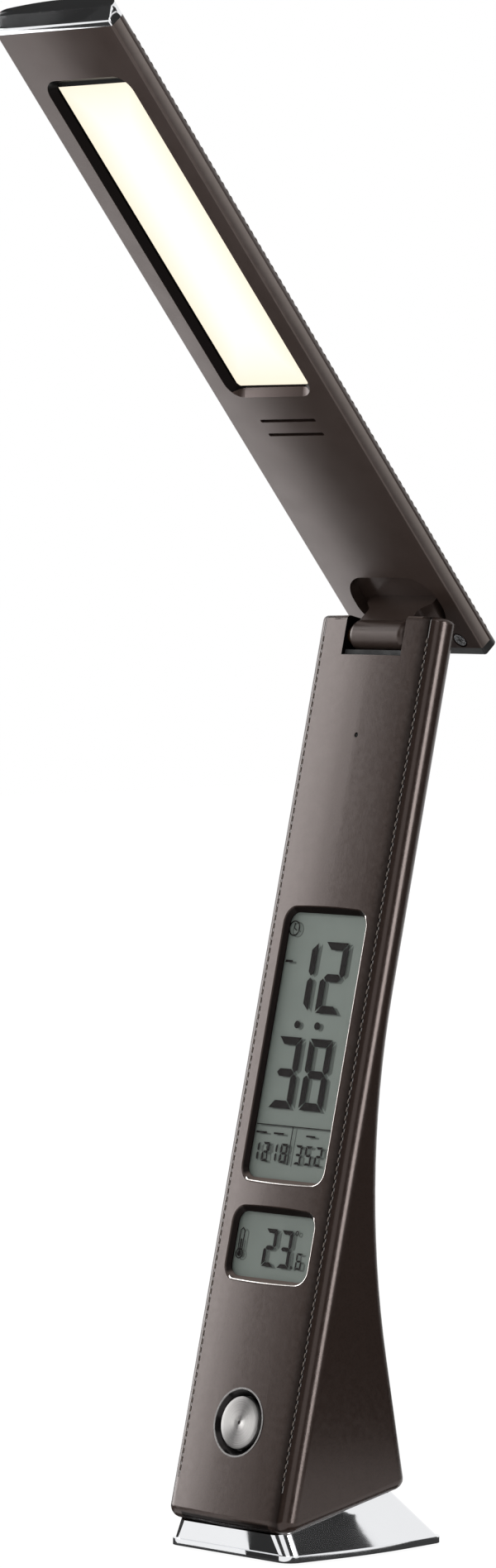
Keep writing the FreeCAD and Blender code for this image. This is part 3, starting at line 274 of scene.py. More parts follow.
class LampDisplays(bpy.types.PropertyGroup):
    """Sizes of the displays' figures."""

    bar: length_setting("Bar", "Thickness of a large figure's bars", 2.35)
    width: length_setting("Figure width", "Width of a large figure", 9.9)
    height: length_setting("Figure height", "Height of a large figure", 21.4)
    shadow: length_setting("Shadow offset", "How far the bars' shadows fall to the side", 1.4)
    hours: IntProperty(name="Hours", description="Upper figures of the clock", default=12, min=0, max=99)
    minutes: IntProperty(name="Minutes", description="Lower figures of the clock", default=38, min=0, max=99)


class Paint:
    """One material's nodes, round its Principled surface."""

    def __init__(self, name, sockets):
        self.material = bpy.data.materials.new(name)
        self.material.use_nodes = True
        self.tree = self.material.node_tree
        self.surface = self.tree.nodes["Principled BSDF"]
        for socket, value in sockets.items():
            self.set(socket, value)

    def set(self, socket, value):
        """Gives a surface socket a value or a link."""
        self.feed(self.surface.inputs[socket], value)

    def feed(self, socket, value):
        """Gives any socket a value or a link."""
        if isinstance(value, bpy.types.NodeSocket):
            self.tree.links.new(value, socket)
        elif hasattr(value, "__len__") and len(value) == 3 and len(socket.default_value) == 4:
            socket.default_value = (*value, 1.0)
        else:
            socket.default_value = value

    def node(self, kind, inputs, **settings):
        """New node with its settings and inputs."""
        made = self.tree.nodes.new(kind)
        for key, value in settings.items():
            setattr(made, key, value)
        for key, value in inputs.items():
            self.feed(made.inputs[key], value)
        return made

    def place(self):
        """Position on the lamp, in metres."""
        return self.node("ShaderNodeTexCoord", {}).outputs["Object"]

    def in_frame(self, matrix, turn):
        """Position in millimetres in the stand's or head's frame, as x, y and z."""
        mapped = self.node("ShaderNodeMapping", {
            "Vector": self.place(),
            "Location": matrix.to_translation(),
            "Rotation": (turn, 0, 0),
            "Scale": (MM, MM, MM),
        }, vector_type="TEXTURE")
        return self.node("ShaderNodeSeparateXYZ", {"Vector": mapped.outputs[0]}).outputs

    def outward(self):
        """The way the surface faces, as three numbers."""
        geometry = self.node("ShaderNodeNewGeometry", {})
        parts = self.node("ShaderNodeSeparateXYZ", {"Vector": geometry.outputs["Normal"]})
        return parts.outputs["X"], parts.outputs["Y"], parts.outputs["Z"]

    def math(self, operation, first, second=0.0):
        """Result of one sum."""
        return self.node("ShaderNodeMath", {0: first, 1: second}, operation=operation).outputs[0]

    def size(self, value):
        """A number without its sign."""
        return self.math("ABSOLUTE", value)

    def less(self, first, second):
        """First number less the second."""
        return self.math("SUBTRACT", first, second)

    def times(self, first, *others):
        """Product of all the numbers."""
        for other in others:
            first = self.math("MULTIPLY", first, other)
        return first

    def below(self, value, limit):
        """1 where the value is below a limit."""
        return self.math("LESS_THAN", value, limit)

    def above(self, value, limit):
        """1 where the value is above a limit."""
        return self.math("GREATER_THAN", value, limit)

    def crown(self, x, radius):
        """Fall of a crowned face at a distance from its middle."""
        return self.math("DIVIDE", self.times(x, x), 2 * radius)

    def noise(self, grain):
        """Cloudy pattern whose blotches are about grain millimetres across."""
        inputs = {"Vector": self.place(), "Scale": 1 / (grain * MM), "Detail": 3.0}
        return self.node("ShaderNodeTexNoise", inputs).outputs[0]

    def cells(self, grain):
        """Pebbled pattern of cells about grain millimetres across."""
        inputs = {"Vector": self.place(), "Scale": 1 / (grain * MM)}
        return self.node("ShaderNodeTexVoronoi", inputs, feature="SMOOTH_F1").outputs["Distance"]

    def ramp(self, value, low, high, start=0.0, end=1.0):
        """Smooth step from low to high as value goes from start to end."""
        inputs = {"Value": value, "From Min": start, "From Max": end, "To Min": low, "To Max": high}
        return self.node("ShaderNodeMapRange", inputs, interpolation_type="SMOOTHSTEP").outputs[0]

    def gloss(self, grain, low, high):
        """Roughness that wanders between two values."""
        self.set("Roughness", self.ramp(self.noise(grain), low, high, 0.3, 0.7))

    def blend(self, share, first, second):
        """Colour between two colours."""
        made = self.node("ShaderNodeMix", {}, data_type="RGBA")
        for socket, value in ((made.inputs[0], share), (made.inputs[6], first), (made.inputs[7], second)):
            self.feed(socket, value)
        return made.outputs[2]

    def bump(self, height, depth, strength=1.0):
        """Surface relief of depth millimetres."""
        inputs = {"Height": height, "Distance": depth * MM, "Strength": strength}
        self.set("Normal", self.node("ShaderNodeBump", inputs).outputs[0])


def shaded(colour, share):
    """The same colour, darker or lighter by a share."""
    return tuple(min(1.0, channel * share) for channel in colour)


def plain_finish(name, colour, rough, grain, depth, metallic=0.0, spread=0.12, **extra):
    """Material with a fine mottle, uneven gloss and a little relief."""
    sockets = {"Metallic": metallic}
    sockets.update({key.replace("_", " "): value for key, value in extra.items()})
    paint = Paint(name, sockets)
    mottle = paint.noise(grain)
    paint.set("Base Color", paint.blend(mottle, shaded(colour, 1 - spread), shaded(colour, 1 + spread)))
    paint.gloss(grain * 6, rough * 0.88, rough * 1.12)
    paint.bump(mottle, depth)
    return paint


def leather_finish(name, colours):
    """Smooth dyed leather: pebbled grain, soft sheen, cloudy dye."""
    colour = tuple(colours.leather)
    paint = Paint(name, {"Specular Tint": SHEEN, "Sheen Weight": 0.03, "Sheen Roughness": 0.4})
    pebble = paint.cells(0.55)
    cloud = paint.noise(14.0)
    dye = paint.blend(cloud, shaded(colour, 0.93), shaded(colour, 1.07))
    dye = paint.blend(paint.ramp(pebble, 0.0, 0.22, 0.35, 0.75), dye, shaded(colour, 0.45))
    paint.gloss(1.6, 0.18, 0.24)
    return paint, pebble, dye


def stand_leather(colours, seams):
    """Leather of the stand, with painted shade beside its right front seam, in its seams' grooves, in the
    windows' throats and in the hinge notch, and a painted highlight where the throats face up.
    """
    paint, pebble, dye = leather_finish("stand_leather", colours)
    x, y, z = paint.in_frame(STAND, STAND_TURN)
    across = paint.size(x)
    front = paint.below(y, FRONT_REACH)
    seam = seams.seam / MM
    sewn = paint.above(z, seams.low / MM - SEAM_LEAD)
    groove = paint.ramp(paint.size(paint.less(across, seam)), 1.0, 0.0, 0.15, 0.5)
    groove = paint.times(groove, front, sewn)
    # Painted shade on the front just inside the right seam, which also dulls the gloss there.
    inward = paint.less(seam, x)
    seam_shade = paint.times(paint.ramp(inward, 0.75, 0.0, 0.0, 4.5),
                          paint.ramp(inward, 0.0, 1.0, -1.2, 0.0), front)
    dye = paint.blend(seam_shade, dye, tone(20, 15, 13))
    # Painted shade in the seams' grooves, whose relief is a bump.
    dye = paint.blend(paint.times(groove, 0.85), dye, tone(16, 13, 12))
    # Painted light and shade in the windows' throats: near black where they face down or sideways, a painted
    # highlight where they face up; their gloss is dulled too.
    sunk = paint.less(y, paint.crown(x, FRONT_R))
    throat = paint.times(paint.ramp(sunk, 0.0, 0.85, 0.1, 0.5), paint.below(across, WINDOW_HALF + THIN))
    upward = paint.ramp(paint.outward()[2], 0.0, 1.0, 0.5, 0.75)
    dye = paint.blend(throat, dye, paint.blend(upward, tone(12, 10, 10), tone(120, 108, 102)))
    # Painted shade on the walls and floor of the hinge notch.
    notch = paint.times(paint.below(across, NOTCH_HALF + THIN), paint.above(z, NOTCH_FLOOR - THIN))
    paint.set("Base Color", paint.blend(notch, dye, tone(10, 9, 9)))
    paint.set("Specular IOR Level", paint.ramp(paint.math("MAXIMUM", seam_shade, throat), 0.5, 0.05))
    paint.bump(paint.less(paint.times(pebble, -0.03), groove), 0.3, 0.6)
    return paint.material


def rim_finish(colours):
    """Eased rim of a window, with a painted highlight: bright and metallic where it faces up or to the left.
    """
    paint = plain_finish("window_rim", tuple(colours.leather), 0.16, 1.5, 0.002, Specular_Tint=SHEEN)
    x, _, z = paint.outward()
    # Painted highlight: the rim turns near white and metallic where it faces up or to the left.
    painted_glint = paint.ramp(paint.less(paint.times(z, 0.7), x), 0.0, 1.0, 0.2, 0.5)
    paint.set("Base Color", paint.blend(painted_glint, tuple(colours.leather), tone(240, 236, 232)))
    paint.set("Metallic", painted_glint)
    return paint.material


def head_leather(colours):
    """Leather of the head's back."""
    paint, pebble, dye = leather_finish("head_leather", colours)
    paint.set("Base Color", dye)
    paint.bump(pebble, 0.015, 0.6)
    return paint.material


def head_underside(colours):
    """Moulded underside with painted shade on the walls of the light's opening, and lighter, speckled sides.
    """
    colour = tuple(colours.plastic)
    paint = Paint("head_underside", {"Specular Tint": UNDERSIDE_SHEEN})
    x, y, z = paint.in_frame(HEAD, HEAD_TURN)
    mottle = paint.noise(2.2)
    base = paint.blend(mottle, shaded(colour, 0.95), shaded(colour, 1.05))
    across = paint.size(x)
    side = paint.ramp(across, 0.0, 1.0, HEAD_HALF - 0.9, HEAD_HALF - 0.5)
    lift = paint.math("ADD", paint.ramp(y, 0.0, 0.85, 0.3, 4.0), paint.times(mottle, 0.15))
    base = paint.blend(side, base, paint.blend(lift, tone(80, 71, 67), tone(164, 154, 148)))
    along = paint.size(paint.less(z, LIGHT_MIDDLE))
    inside = paint.times(paint.below(across, LIGHT_HALF + THIN),
                         paint.below(along, LIGHT_HIGH - LIGHT_MIDDLE + THIN))
    # Painted shade: the opening's walls are near black and dull, all but the lower wall, which faces up and
    # is left lit.
    rim = paint.times(inside, paint.above(y, THIN), paint.above(z, LIGHT_LOW + LIGHT_BEVEL))
    paint.set("Base Color", paint.blend(rim, base, tone(8, 8, 8)))
    paint.set("Specular IOR Level", paint.ramp(rim, 0.55, 0.08))
    paint.gloss(9.0, 0.28, 0.32)
    paint.bump(paint.crown(x, -UNDERSIDE_R), 1.0)
    return paint.material


def display_glass(colours):
    """Reflective back of a display, cloudy and a little lighter towards the stand's top, with a painted
    glow.
    """
    colour = tuple(colours.glass)
    sockets = {"Roughness": 0.5, "Specular IOR Level": 0.15, "Emission Strength": PAINTED_DISPLAY_GLOW}
    paint = Paint("display_glass", sockets)
    z = paint.in_frame(STAND, STAND_TURN)[2]
    cloud = paint.math("ADD", paint.noise(9.0), paint.ramp(z, -0.25, 0.25, 80.0, 195.0))
    glass = paint.blend(cloud, shaded(colour, 0.9), shaded(colour, 1.08))
    paint.set("Base Color", glass)
    paint.set("Emission Color", glass)
    paint.bump(paint.noise(0.12), 0.01, 0.3)
    return paint.material


def lit_diffuser(colours):
    """Frosted sheet, white in the middle and cream to its black printed border."""
    paint = Paint("lit_diffuser", {"Roughness": 0.6, "Emission Strength": 1.0, "Specular IOR Level": 0.1})
    x, _, z = paint.in_frame(HEAD, HEAD_TURN)
    across = paint.size(x)
    along = paint.math("DIVIDE", paint.size(paint.less(z, LIGHT_MIDDLE)), LIGHT_HIGH - LIGHT_MIDDLE)
    edge = paint.math("MAXIMUM", paint.math("DIVIDE", across, LIGHT_HALF), paint.math("POWER", along, 3.0))
    edge = paint.ramp(edge, 0.0, 1.0, 0.1, 0.95)
    edge = paint.math("ADD", edge, paint.times(paint.noise(8.0), 0.06))
    glow = paint.blend(edge, (1.0, 1.0, 0.985), tuple(colours.glow))
    narrow = LIGHT_BEVEL + LIGHT_BORDER / 3
    top = paint.above(z, LIGHT_HIGH - LIGHT_BEVEL - LIGHT_BORDER)
    bottom = paint.below(z, LIGHT_LOW + narrow)
    sides = paint.above(across, LIGHT_HALF - narrow)
    border = paint.math("MAXIMUM", paint.math("MAXIMUM", top, bottom), sides)
    paint.set("Emission Color", paint.blend(border, glow, (0.0, 0.0, 0.0)))
    paint.set("Base Color", paint.blend(border, tone(90, 88, 80), tone(8, 8, 8)))
    return paint.material


def spun_metal():
    """Turned disc: fine rings round the middle, which spread highlights into fans, and a fan of highlights
    painted into its colour.
    """
    paint = Paint("spun_metal", {"Metallic": 1.0, "Anisotropic": 0.92, "Roughness": 0.34})
    uv = paint.node("ShaderNodeUVMap", {}, uv_map="turning").outputs[0]
    radius, angle, _ = paint.node("ShaderNodeSeparateXYZ", {"Vector": uv}).outputs
    inputs = {"W": paint.times(radius, 9.0), "Scale": 1.0, "Detail": 2.0}
    rings = paint.node("ShaderNodeTexNoise", inputs, noise_dimensions="1D").outputs[0]
    # Painted reflection: a fan of light and dark sectors in the colour, on top of the turning rings.
    painted_fan = paint.math("COSINE", paint.times(angle, 2.0))
    lit = paint.math("ADD", paint.times(painted_fan, 0.28), paint.ramp(rings, 0.3, 0.7, 0.25, 0.75))
    metal = paint.blend(lit, tone(66, 64, 64), tone(186, 184, 182))
    dot = paint.ramp(radius, 1.0, 0.0, 0.35, 0.75)
    paint.set("Base Color", paint.blend(dot, metal, tone(40, 38, 38)))
    tangent = paint.node("ShaderNodeTangent", {}, direction_type="UV_MAP", uv_map="turning").outputs[0]
    paint.set("Tangent", tangent)
    paint.bump(rings, 0.012, 0.5)
    return paint.material


def bezel_finish():
    """Dark plated ring with a bright outer rim."""
    paint = Paint("bezel", {"Metallic": 1.0})
    x, _, z = paint.in_frame(STAND, STAND_TURN)
    rise = paint.less(z, BUTTON_RISE)
    squares = paint.math("ADD", paint.times(x, x), paint.times(rise, rise))
    rim = paint.ramp(paint.math("SQRT", squares), 0.0, 1.0, BEZEL_R - 0.75, BEZEL_R - 0.45)
    paint.set("Base Color", paint.blend(rim, tone(44, 42, 42), tone(120, 118, 117)))
    paint.gloss(1.5, 0.18, 0.26)
    return paint.material


def chrome_finish(colours):
    """Polished plating with a faint wipe pattern in its gloss."""
    paint = Paint("chrome", {"Metallic": 1.0})
    wipe = paint.noise(18.0)
    colour = tuple(colours.chrome)
    paint.set("Base Color", paint.blend(wipe, shaded(colour, 0.96), colour))
    paint.set("Roughness", paint.ramp(wipe, 0.05, 0.09, 0.3, 0.7))
    return paint.material


def clear_finish(name, alpha):
    """Clear sheet that lets what is behind it show."""
    paint = Paint(name, {"Alpha": alpha, "Specular IOR Level": 0.5})
    paint.set("Base Color", paint.blend(paint.noise(6.0), tone(40, 44, 44), tone(60, 64, 64)))
    paint.gloss(20.0, 0.03, 0.06)
    return paint.material


def finishes(colours):
    """Material of each of the record's slots."""
    plain = {
        "dark_plastic": ("black_plastic", tuple(colours.black), 0.36, 0.35, 0.02),
        "steel": ("bright_steel", tone(205, 205, 206), 0.22, 0.8, 0.006, 1.0),
        "bronze": ("bronze", tone(172, 128, 78), 0.35, 0.5, 0.01, 1.0),
        "iron": ("cast_iron", tone(70, 68, 67), 0.6, 1.2, 0.08, 0.8),
        "rubber": ("rubber", tone(28, 28, 29), 0.75, 0.7, 0.1),
        "white_film": ("white_film", tone(238, 238, 236), 0.5, 3.0, 0.01, 0.0, 0.03),
        "circuit_board": ("circuit_board", tone(28, 74, 46), 0.4, 2.4, 0.03, 0.0, 0.3),
        "chip": ("light_chip", tone(236, 222, 150), 0.4, 0.6, 0.01),
        "cell": ("cell_wrap", tone(120, 126, 134), 0.3, 5.0, 0.03),
        "lead": ("lead_jacket", tone(150, 30, 28), 0.45, 0.5, 0.02),
    }
    made = {slot: plain_finish(*values).material for slot, values in plain.items()}
    casing = plain_finish("brown_plastic", tuple(colours.plastic), 0.33, 1.2, 0.004, Specular_Tint=SHEEN)
    return made | {
        "brown_plastic": casing.material,
        "leather": head_leather(colours),
        "bright_chrome": chrome_finish(colours),
        "dark_metal": bezel_finish(),
        "spun_metal": made["steel"],
        "clear_lens": clear_finish("clear_lens", 0.1),
        "display": display_glass(colours),
        "diffuser": lit_diffuser(colours),
        "clear_plastic": clear_finish("clear_plastic", 0.35),
    }


def dress(node, material):
    """Gives a solid a material of its own."""
    mesh = frame["nodes"][node].data
    mesh.materials.clear()
    mesh.materials.append(material)


def made_piece(name, bm, matrix, body, material):
    """Piece from a mesh in local millimetres, set in place and carried by a body."""
    bmesh.ops.transform(bm, matrix=matrix, verts=bm.verts)
    bmesh.ops.recalc_face_normals(bm, faces=bm.faces)
    mesh = bpy.data.meshes.new(name)
    bm.to_mesh(mesh)
    bm.free()
    mesh.materials.append(material)
    piece = bpy.data.objects.new(name, mesh)
    bpy.context.scene.collection.objects.link(piece)
    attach(piece, body)
    return piece


def flat_plate(bm, points, front=0.0, back=THIN):
    """Thin plate with a flat outline of x and z points between two depths."""
    face = bm.faces.new([bm.verts.new((x, front, z)) for x, z in points])
    grown = bmesh.ops.extrude_face_region(bm, geom=[face])["geom"]
    verts = [item for item in grown if isinstance(item, bmesh.types.BMVert)]
    bmesh.ops.translate(bm, vec=(0, back - front, 0), verts=verts)


def flat_ring(bm, centre, outer, inner, front=0.0, back=THIN, steps=28):
    """Thin ring about a point of the display."""
    spot = Vector((centre[0], front, centre[1]))
    start = [bm.verts.new(spot + Vector(offset)) for offset in (
        (inner, 0, 0), (outer, 0, 0), (outer, back - front, 0), (inner, back - front, 0))]
    edges = [bm.edges.new((start[index], start[(index + 1) % 4])) for index in range(4)]
    bmesh.ops.spin(bm, geom=start + edges, cent=spot, axis=(0, 1, 0), angle=math.tau, steps=steps,
                   use_merge=True)


def disc_points(centre, radius, steps=20):
    """Outline of a round dot."""
    turns = [math.tau * index / steps for index in range(steps)]
    return [(centre[0] + radius * math.cos(turn), centre[1] + radius * math.sin(turn)) for turn in turns]


def bar_points(width, height, bar, gap):
    """Outlines of a figure's seven bars, by letter, from its lower left corner."""
    middle = height / 2
    half = bar / 2
    top = [(gap, height), (width - gap, height),
           (width - bar - gap, height - bar), (bar + gap, height - bar)]
    upper = [(0, height - gap * 2), (bar, height - bar - gap), (bar, middle + half + gap),
             (half, middle + gap), (0, middle + half)]
    across = [(half + gap, middle), (bar + gap, middle + half), (width - bar - gap, middle + half),
              (width - half - gap, middle), (width - bar - gap, middle - half), (bar + gap, middle - half)]

    def mirrored(points):
        return [(width - x, z) for x, z in points]

    def upturned(points):
        return [(x, height - z) for x, z in points]

    return {
        "a": top, "b": mirrored(upper), "c": upturned(mirrored(upper)), "d": upturned(top),
        "e": upturned(upper), "f": upper, "g": across,
    }


def draw_figures(bm, text, left, low, size, step=0.0):
    """Row of seven-segment figures. Size is width, height, bar and gap."""
    bars = bar_points(*size)
    for index, figure in enumerate(text):
        for letter in LIT_BARS[figure]:
            flat_plate(bm, [(left + index * step + x, low + z) for x, z in bars[letter]])


def strip_points(start, end, width):
    """Outline of a straight stroke between two points."""
    run = Vector(end) - Vector(start)
    side = Vector((-run.y, run.x)).normalized() * (width / 2)
    corners = [Vector(start) + side, Vector(end) + side, Vector(end) - side, Vector(start) - side]
    return [tuple(corner) for corner in corners]


def draw_strokes(bm, strokes):
    """Straight strokes, each with its start, end and width."""
    for stroke in strokes:
        flat_plate(bm, strip_points(*stroke))


def draw_clock(bm, displays):
    """Everything that the clock shows."""
    large = (displays.width / MM, displays.height / MM, displays.bar / MM, FIGURE_GAP)
    for number, low in ((displays.hours, HOURS_LOW), (displays.minutes, MINUTES_LOW)):
        draw_figures(bm, f"{number:02d}", FIGURE_LEFT, low, large, FIGURE_STEP)
    for dot in DOTS:
        flat_plate(bm, disc_points(dot, 1.15))
    for text, left in DATE_FIGURES.items():
        draw_figures(bm, text, left, DATE_LOW, DATE_SIZE, DATE_STEP)
    x, z = CLOCK_SIGN
    flat_ring(bm, CLOCK_SIGN, 2.35, 1.95)
    draw_strokes(bm, [
        ((x, z), (x, z + 1.6), 0.35),
        ((x, z), (x + 1.2, z - 0.6), 0.35),
        ((-16.2, 176.8), (-13.2, 176.8), 0.7),
        ((-16.4, RULE_RISE), (16.2, RULE_RISE), 0.3),
        ((-0.9, RULE_RISE), (-0.9, DATE_LOW - 0.4), 0.3),
        ((-10.6, DATE_LOW + 4.8), (-9.9, DATE_LOW + 0.8), 0.35),
    ])
    draw_strokes(bm, [((start, LABEL_RISE), (end, LABEL_RISE), 0.55) for start, end in LABELS])


def draw_thermometer(bm):
    """Figures and sign of the thermometer."""
    draw_figures(bm, "23", -4.6, 86.1, DEGREES_SIZE, DEGREES_STEP)
    draw_figures(bm, "6", 9.7, 86.2, TENTHS_SIZE)
    flat_plate(bm, disc_points((8.2, 86.6), 0.5, 12))
    flat_ring(bm, (8.4, 96.8), 0.75, 0.42, steps=16)
    flat_ring(bm, BULB, 1.55, 1.2)
    flat_plate(bm, disc_points(BULB, 0.85))
    x, z = BULB
    strokes = [((x, z), (x, z + 4.4), 0.6)]
    for side in (x - 0.85, x + 0.85):
        strokes.append(((side, z + 1.1), (side, z + 7.0), 0.32))
        strokes.append(((side, z + 6.9), (x, z + 7.7), 0.32))
    draw_strokes(bm, strokes)


def draw_stitch(bm, spot, length, thick, turn):
    """One stitch: a short rounded length of thread."""
    made = bmesh.ops.create_uvsphere(bm, u_segments=6, v_segments=5, radius=0.5)["verts"]
    shape = Matrix.Diagonal((thick, thick, length, 1.0))
    place = Matrix.Translation(spot) @ Matrix.Rotation(turn, 4, "Y")
    bmesh.ops.transform(bm, matrix=place @ shape, verts=made)


def thread_finish(colours):
    """Twisted waxed thread."""
    paint = plain_finish("thread", tuple(colours.thread), 0.55, 0.18, 0.05, spread=0.2)
    return paint.material


def seam_rises(low, high, pitch):
    """Middles of a seam's stitches."""
    count = int((high - low) / pitch)
    return [low + (index + 0.5) * pitch for index in range(count)]


def sew(scene, name, matrix, body, offset, depth, low, high):
    """Two like seams of stitches, left and right, between two ends."""
    seams = scene.lamp_stitching
    bm = bmesh.new()
    for side in (-1, 1):
        for rise in seam_rises(low, high, seams.pitch / MM):
            spot = Vector((side * offset, depth, rise))
            draw_stitch(bm, spot, seams.length / MM, seams.thread / MM, side * seams.slant)
    piece = made_piece(name, bm, matrix, body, thread_finish(scene.lamp_colours))
    piece.data.shade_smooth()


class LAMP_OT_finishes(bpy.types.Operator):
    """Give every solid its material"""

    bl_idname = "lamp.finishes"
    bl_label = "Finishes"

    def execute(self, context):
        scene = context.scene
        colours = scene.lamp_colours
        by_slot = finishes(colours)
        for node, slot in SLOT_OF.items():
            dress(node, by_slot[slot])
        dress("stand_front_shell", stand_leather(colours, scene.lamp_stitching))
        dress("head_lower_cover", head_underside(colours))
        return {"FINISHED"}


def window_path(half, low, high, corner, steps=8, span=2.0):
    """Points round a window's mouth, each with the way in from it."""
    points = []
    for quarter, (right, up) in enumerate(((1, 1), (-1, 1), (-1, -1), (1, -1))):
        heart = Vector((right * (half - corner), high - corner if up > 0 else low + corner))
        for step in range(steps + 1):
            angle = math.pi / 2 * (quarter + step / steps)
            out = Vector((math.cos(angle), math.sin(angle)))
            points.append((heart + out * corner, -out))
    path = []
    for (start, way), (end, _) in zip(points, points[1:] + points[:1]):
        parts = max(1, int((end - start).length / span))
        path += [(start.lerp(end, part / parts), way) for part in range(parts)]
    return path


def draw_rim(bm, path, sides=10):
    """Rounded bead in a window's mouth, which dives into the leather at the left and above."""
    rings = []
    for spot, way in path:
        crown = spot.x ** 2 / (2 * FRONT_R)
        heart = spot + way * (crown + RIM_IN)
        buried = min(1.0, max(0.0, 0.5 + 1.5 * (way.x - 0.7 * way.y)))
        depth = crown + RIM_R + RIM_DIVE * buried
        turn = Matrix.Rotation(-math.atan2(way.y, way.x), 4, "Y")
        place = Matrix.Translation((heart.x, depth, heart.y)) @ turn
        ring = bmesh.ops.create_circle(bm, segments=sides, radius=RIM_R, matrix=place)["verts"]
        rings.append(list(dict.fromkeys(edge for vert in ring for edge in vert.link_edges)))
    for ring, after in zip(rings, rings[1:] + rings[:1]):
        bmesh.ops.bridge_loops(bm, edges=ring + after)


class LAMP_OT_window_rims(bpy.types.Operator):
    """Ease the rims of the two display windows"""

    bl_idname = "lamp.window_rims"
    bl_label = "Window rims"

    def execute(self, context):
        gloss = rim_finish(context.scene.lamp_colours)
        for name, (low, high) in WINDOWS.items():
            bm = bmesh.new()
            draw_rim(bm, window_path(WINDOW_HALF, low, high, WINDOW_CORNER))
            piece = made_piece(name + "_rim", bm, STAND, "stand", gloss)
            piece.data.shade_smooth()
        return {"FINISHED"}


class LAMP_OT_notch_shade_strip(bpy.types.Operator):
    """Close the gap under the hinge barrel with a dark strip standing in for the shade there"""

    bl_idname = "lamp.notch_seal"
    bl_label = "Notch shade strip"

    def execute(self, context):
        top = HINGE_IN_STAND.z - BARREL_R - SHADE_STRIP_PLAY
        half = NOTCH_HALF - SHADE_STRIP_PLAY
        corners = [(-half, NOTCH_FLOOR), (half, NOTCH_FLOOR), (half, top), (-half, top)]
        bm = bmesh.new()
        flat_plate(bm, corners, SHADE_STRIP_FRONT, SHADE_STRIP_BACK)
        bmesh.ops.bevel(bm, geom=list(bm.edges), offset=SHADE_STRIP_EASE, segments=2, profile=0.5, affect="EDGES",
                        material=-1)
        rubber = frame["nodes"]["foot_pad"].data.materials[0]
        made_piece("notch_seal", bm, STAND, "stand", rubber)
        return {"FINISHED"}


class LAMP_OT_tip(bpy.types.Operator):
    """Ease the edges of the head's bright tip"""

    bl_idname = "lamp.tip"
    bl_label = "Tip"

    def execute(self, context):
        solid = frame["nodes"]["tip_cap"]
        bm = bmesh.new()
        bm.from_mesh(solid.data)
        bmesh.ops.remove_doubles(bm, verts=bm.verts, dist=MERGE)
        bmesh.ops.transform(bm, matrix=HEAD.inverted() @ solid.matrix_world, verts=bm.verts)
        length = max(vert.co.z for vert in bm.verts) - HEAD_LENGTH
        for vert in bm.verts:
            vert.co.z = HEAD_LENGTH + (vert.co.z - HEAD_LENGTH) * TIP_SHOWN / length
        bmesh.ops.dissolve_limit(bm, angle_limit=math.radians(0.5), verts=bm.verts, edges=bm.edges)
        sharp = [edge for edge in bm.edges if edge.is_manifold and edge.calc_face_angle() > math.radians(25)]
        bmesh.ops.bevel(bm, geom=sharp, offset=TIP_EASE, segments=2, profile=0.5, affect="EDGES",
                        material=-1, clamp_overlap=True)
        piece = made_piece("tip_eased", bm, HEAD, "head", solid.data.materials[0])
        piece.data.shade_smooth()
        piece.data.set_sharp_from_angle(angle=math.radians(35))
        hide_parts("tip_cap")
        return {"FINISHED"}


class LAMP_OT_stand_stitching(bpy.types.Operator):
    """Sew the two seams along the stand's front edges"""

    bl_idname = "lamp.stand_stitching"
    bl_label = "Stand stitching"

    def execute(self, context):
        seams = context.scene.lamp_stitching
        offset = seams.seam / MM
        depth = offset ** 2 / (2 * FRONT_R) + offset / FRONT_R * THIN
        sew(context.scene, "stand_stitching", STAND, "stand", offset, depth,
            seams.low / MM, HINGE_IN_STAND.z)
        return {"FINISHED"}


class LAMP_OT_head_stitching(bpy.types.Operator):
    """Sew the two seams along the head's rounded shoulders"""

    bl_idname = "lamp.head_stitching"
    bl_label = "Head stitching"

    def execute(self, context):
        offset = HEAD_HALF - SHOULDER_R + SHOULDER_R * math.cos(HEAD_SEAM_TURN)
        depth = SHOULDER_CENTRE_Y + SHOULDER_R * math.sin(HEAD_SEAM_TURN)
        sew(context.scene, "head_stitching", HEAD, "head", offset, depth,
            HEAD_SEAM_END, HEAD_LENGTH - HEAD_SEAM_END)
        return {"FINISHED"}


def map_turning(bm):
    """Map of the disc by distance from its middle and angle round it."""
    turning = bm.loops.layers.uv.new("turning")
    for face in bm.faces:
        heart = face.calc_center_median()
        middle = math.atan2(heart.z - BUTTON_RISE, heart.x)
        for loop in face.loops:
            spot = loop.vert.co
            radius = math.hypot(spot.x, spot.z - BUTTON_RISE)
            toward = spot if radius > 0.01 else heart
            turn = math.atan2(toward.z - BUTTON_RISE, toward.x)
            turn += math.tau * round((middle - turn) / math.tau)
            loop[turning].uv = (radius, turn)


class LAMP_OT_power_disc(bpy.types.Operator):
    """Turn the spun disc of the power button"""

    bl_idname = "lamp.power_disc"
    bl_label = "Power button"

    def execute(self, context):
        face = [(0.0, 0.15), (0.45, 0.13), (0.6, 0.03), (2.5, 0.01), (4.5, 0.0), (6.4, 0.01),
                (BUTTON_R - 0.45, 0.05), (BUTTON_R - 0.15, 0.15), (BUTTON_R, 0.38)]
        behind = [(BUTTON_R, FLANGE_FRONT), (FLANGE_R, FLANGE_FRONT), (FLANGE_R, FLANGE_BACK),
                  (STEM_R, FLANGE_BACK), (STEM_R, STEM_END), (0.0, STEM_END)]
        profile = [(radius, DISC_FRONT + fall) for radius, fall in face] + behind
        bm = bmesh.new()
        verts = [bm.verts.new((radius, depth, BUTTON_RISE)) for radius, depth in profile]
        edges = [bm.edges.new(pair) for pair in zip(verts, verts[1:])]
        bmesh.ops.spin(bm, geom=verts + edges, cent=(0, 0, BUTTON_RISE), axis=(0, 1, 0), angle=math.tau,
                       steps=96, use_merge=True)
        bmesh.ops.remove_doubles(bm, verts=bm.verts, dist=1e-5)
        map_turning(bm)
        piece = made_piece("power_disc", bm, STAND, "power_key", spun_metal())
        piece.data.shade_smooth()
        piece.data.set_sharp_from_angle(angle=math.radians(35))
        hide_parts("power_button")
        return {"FINISHED"}


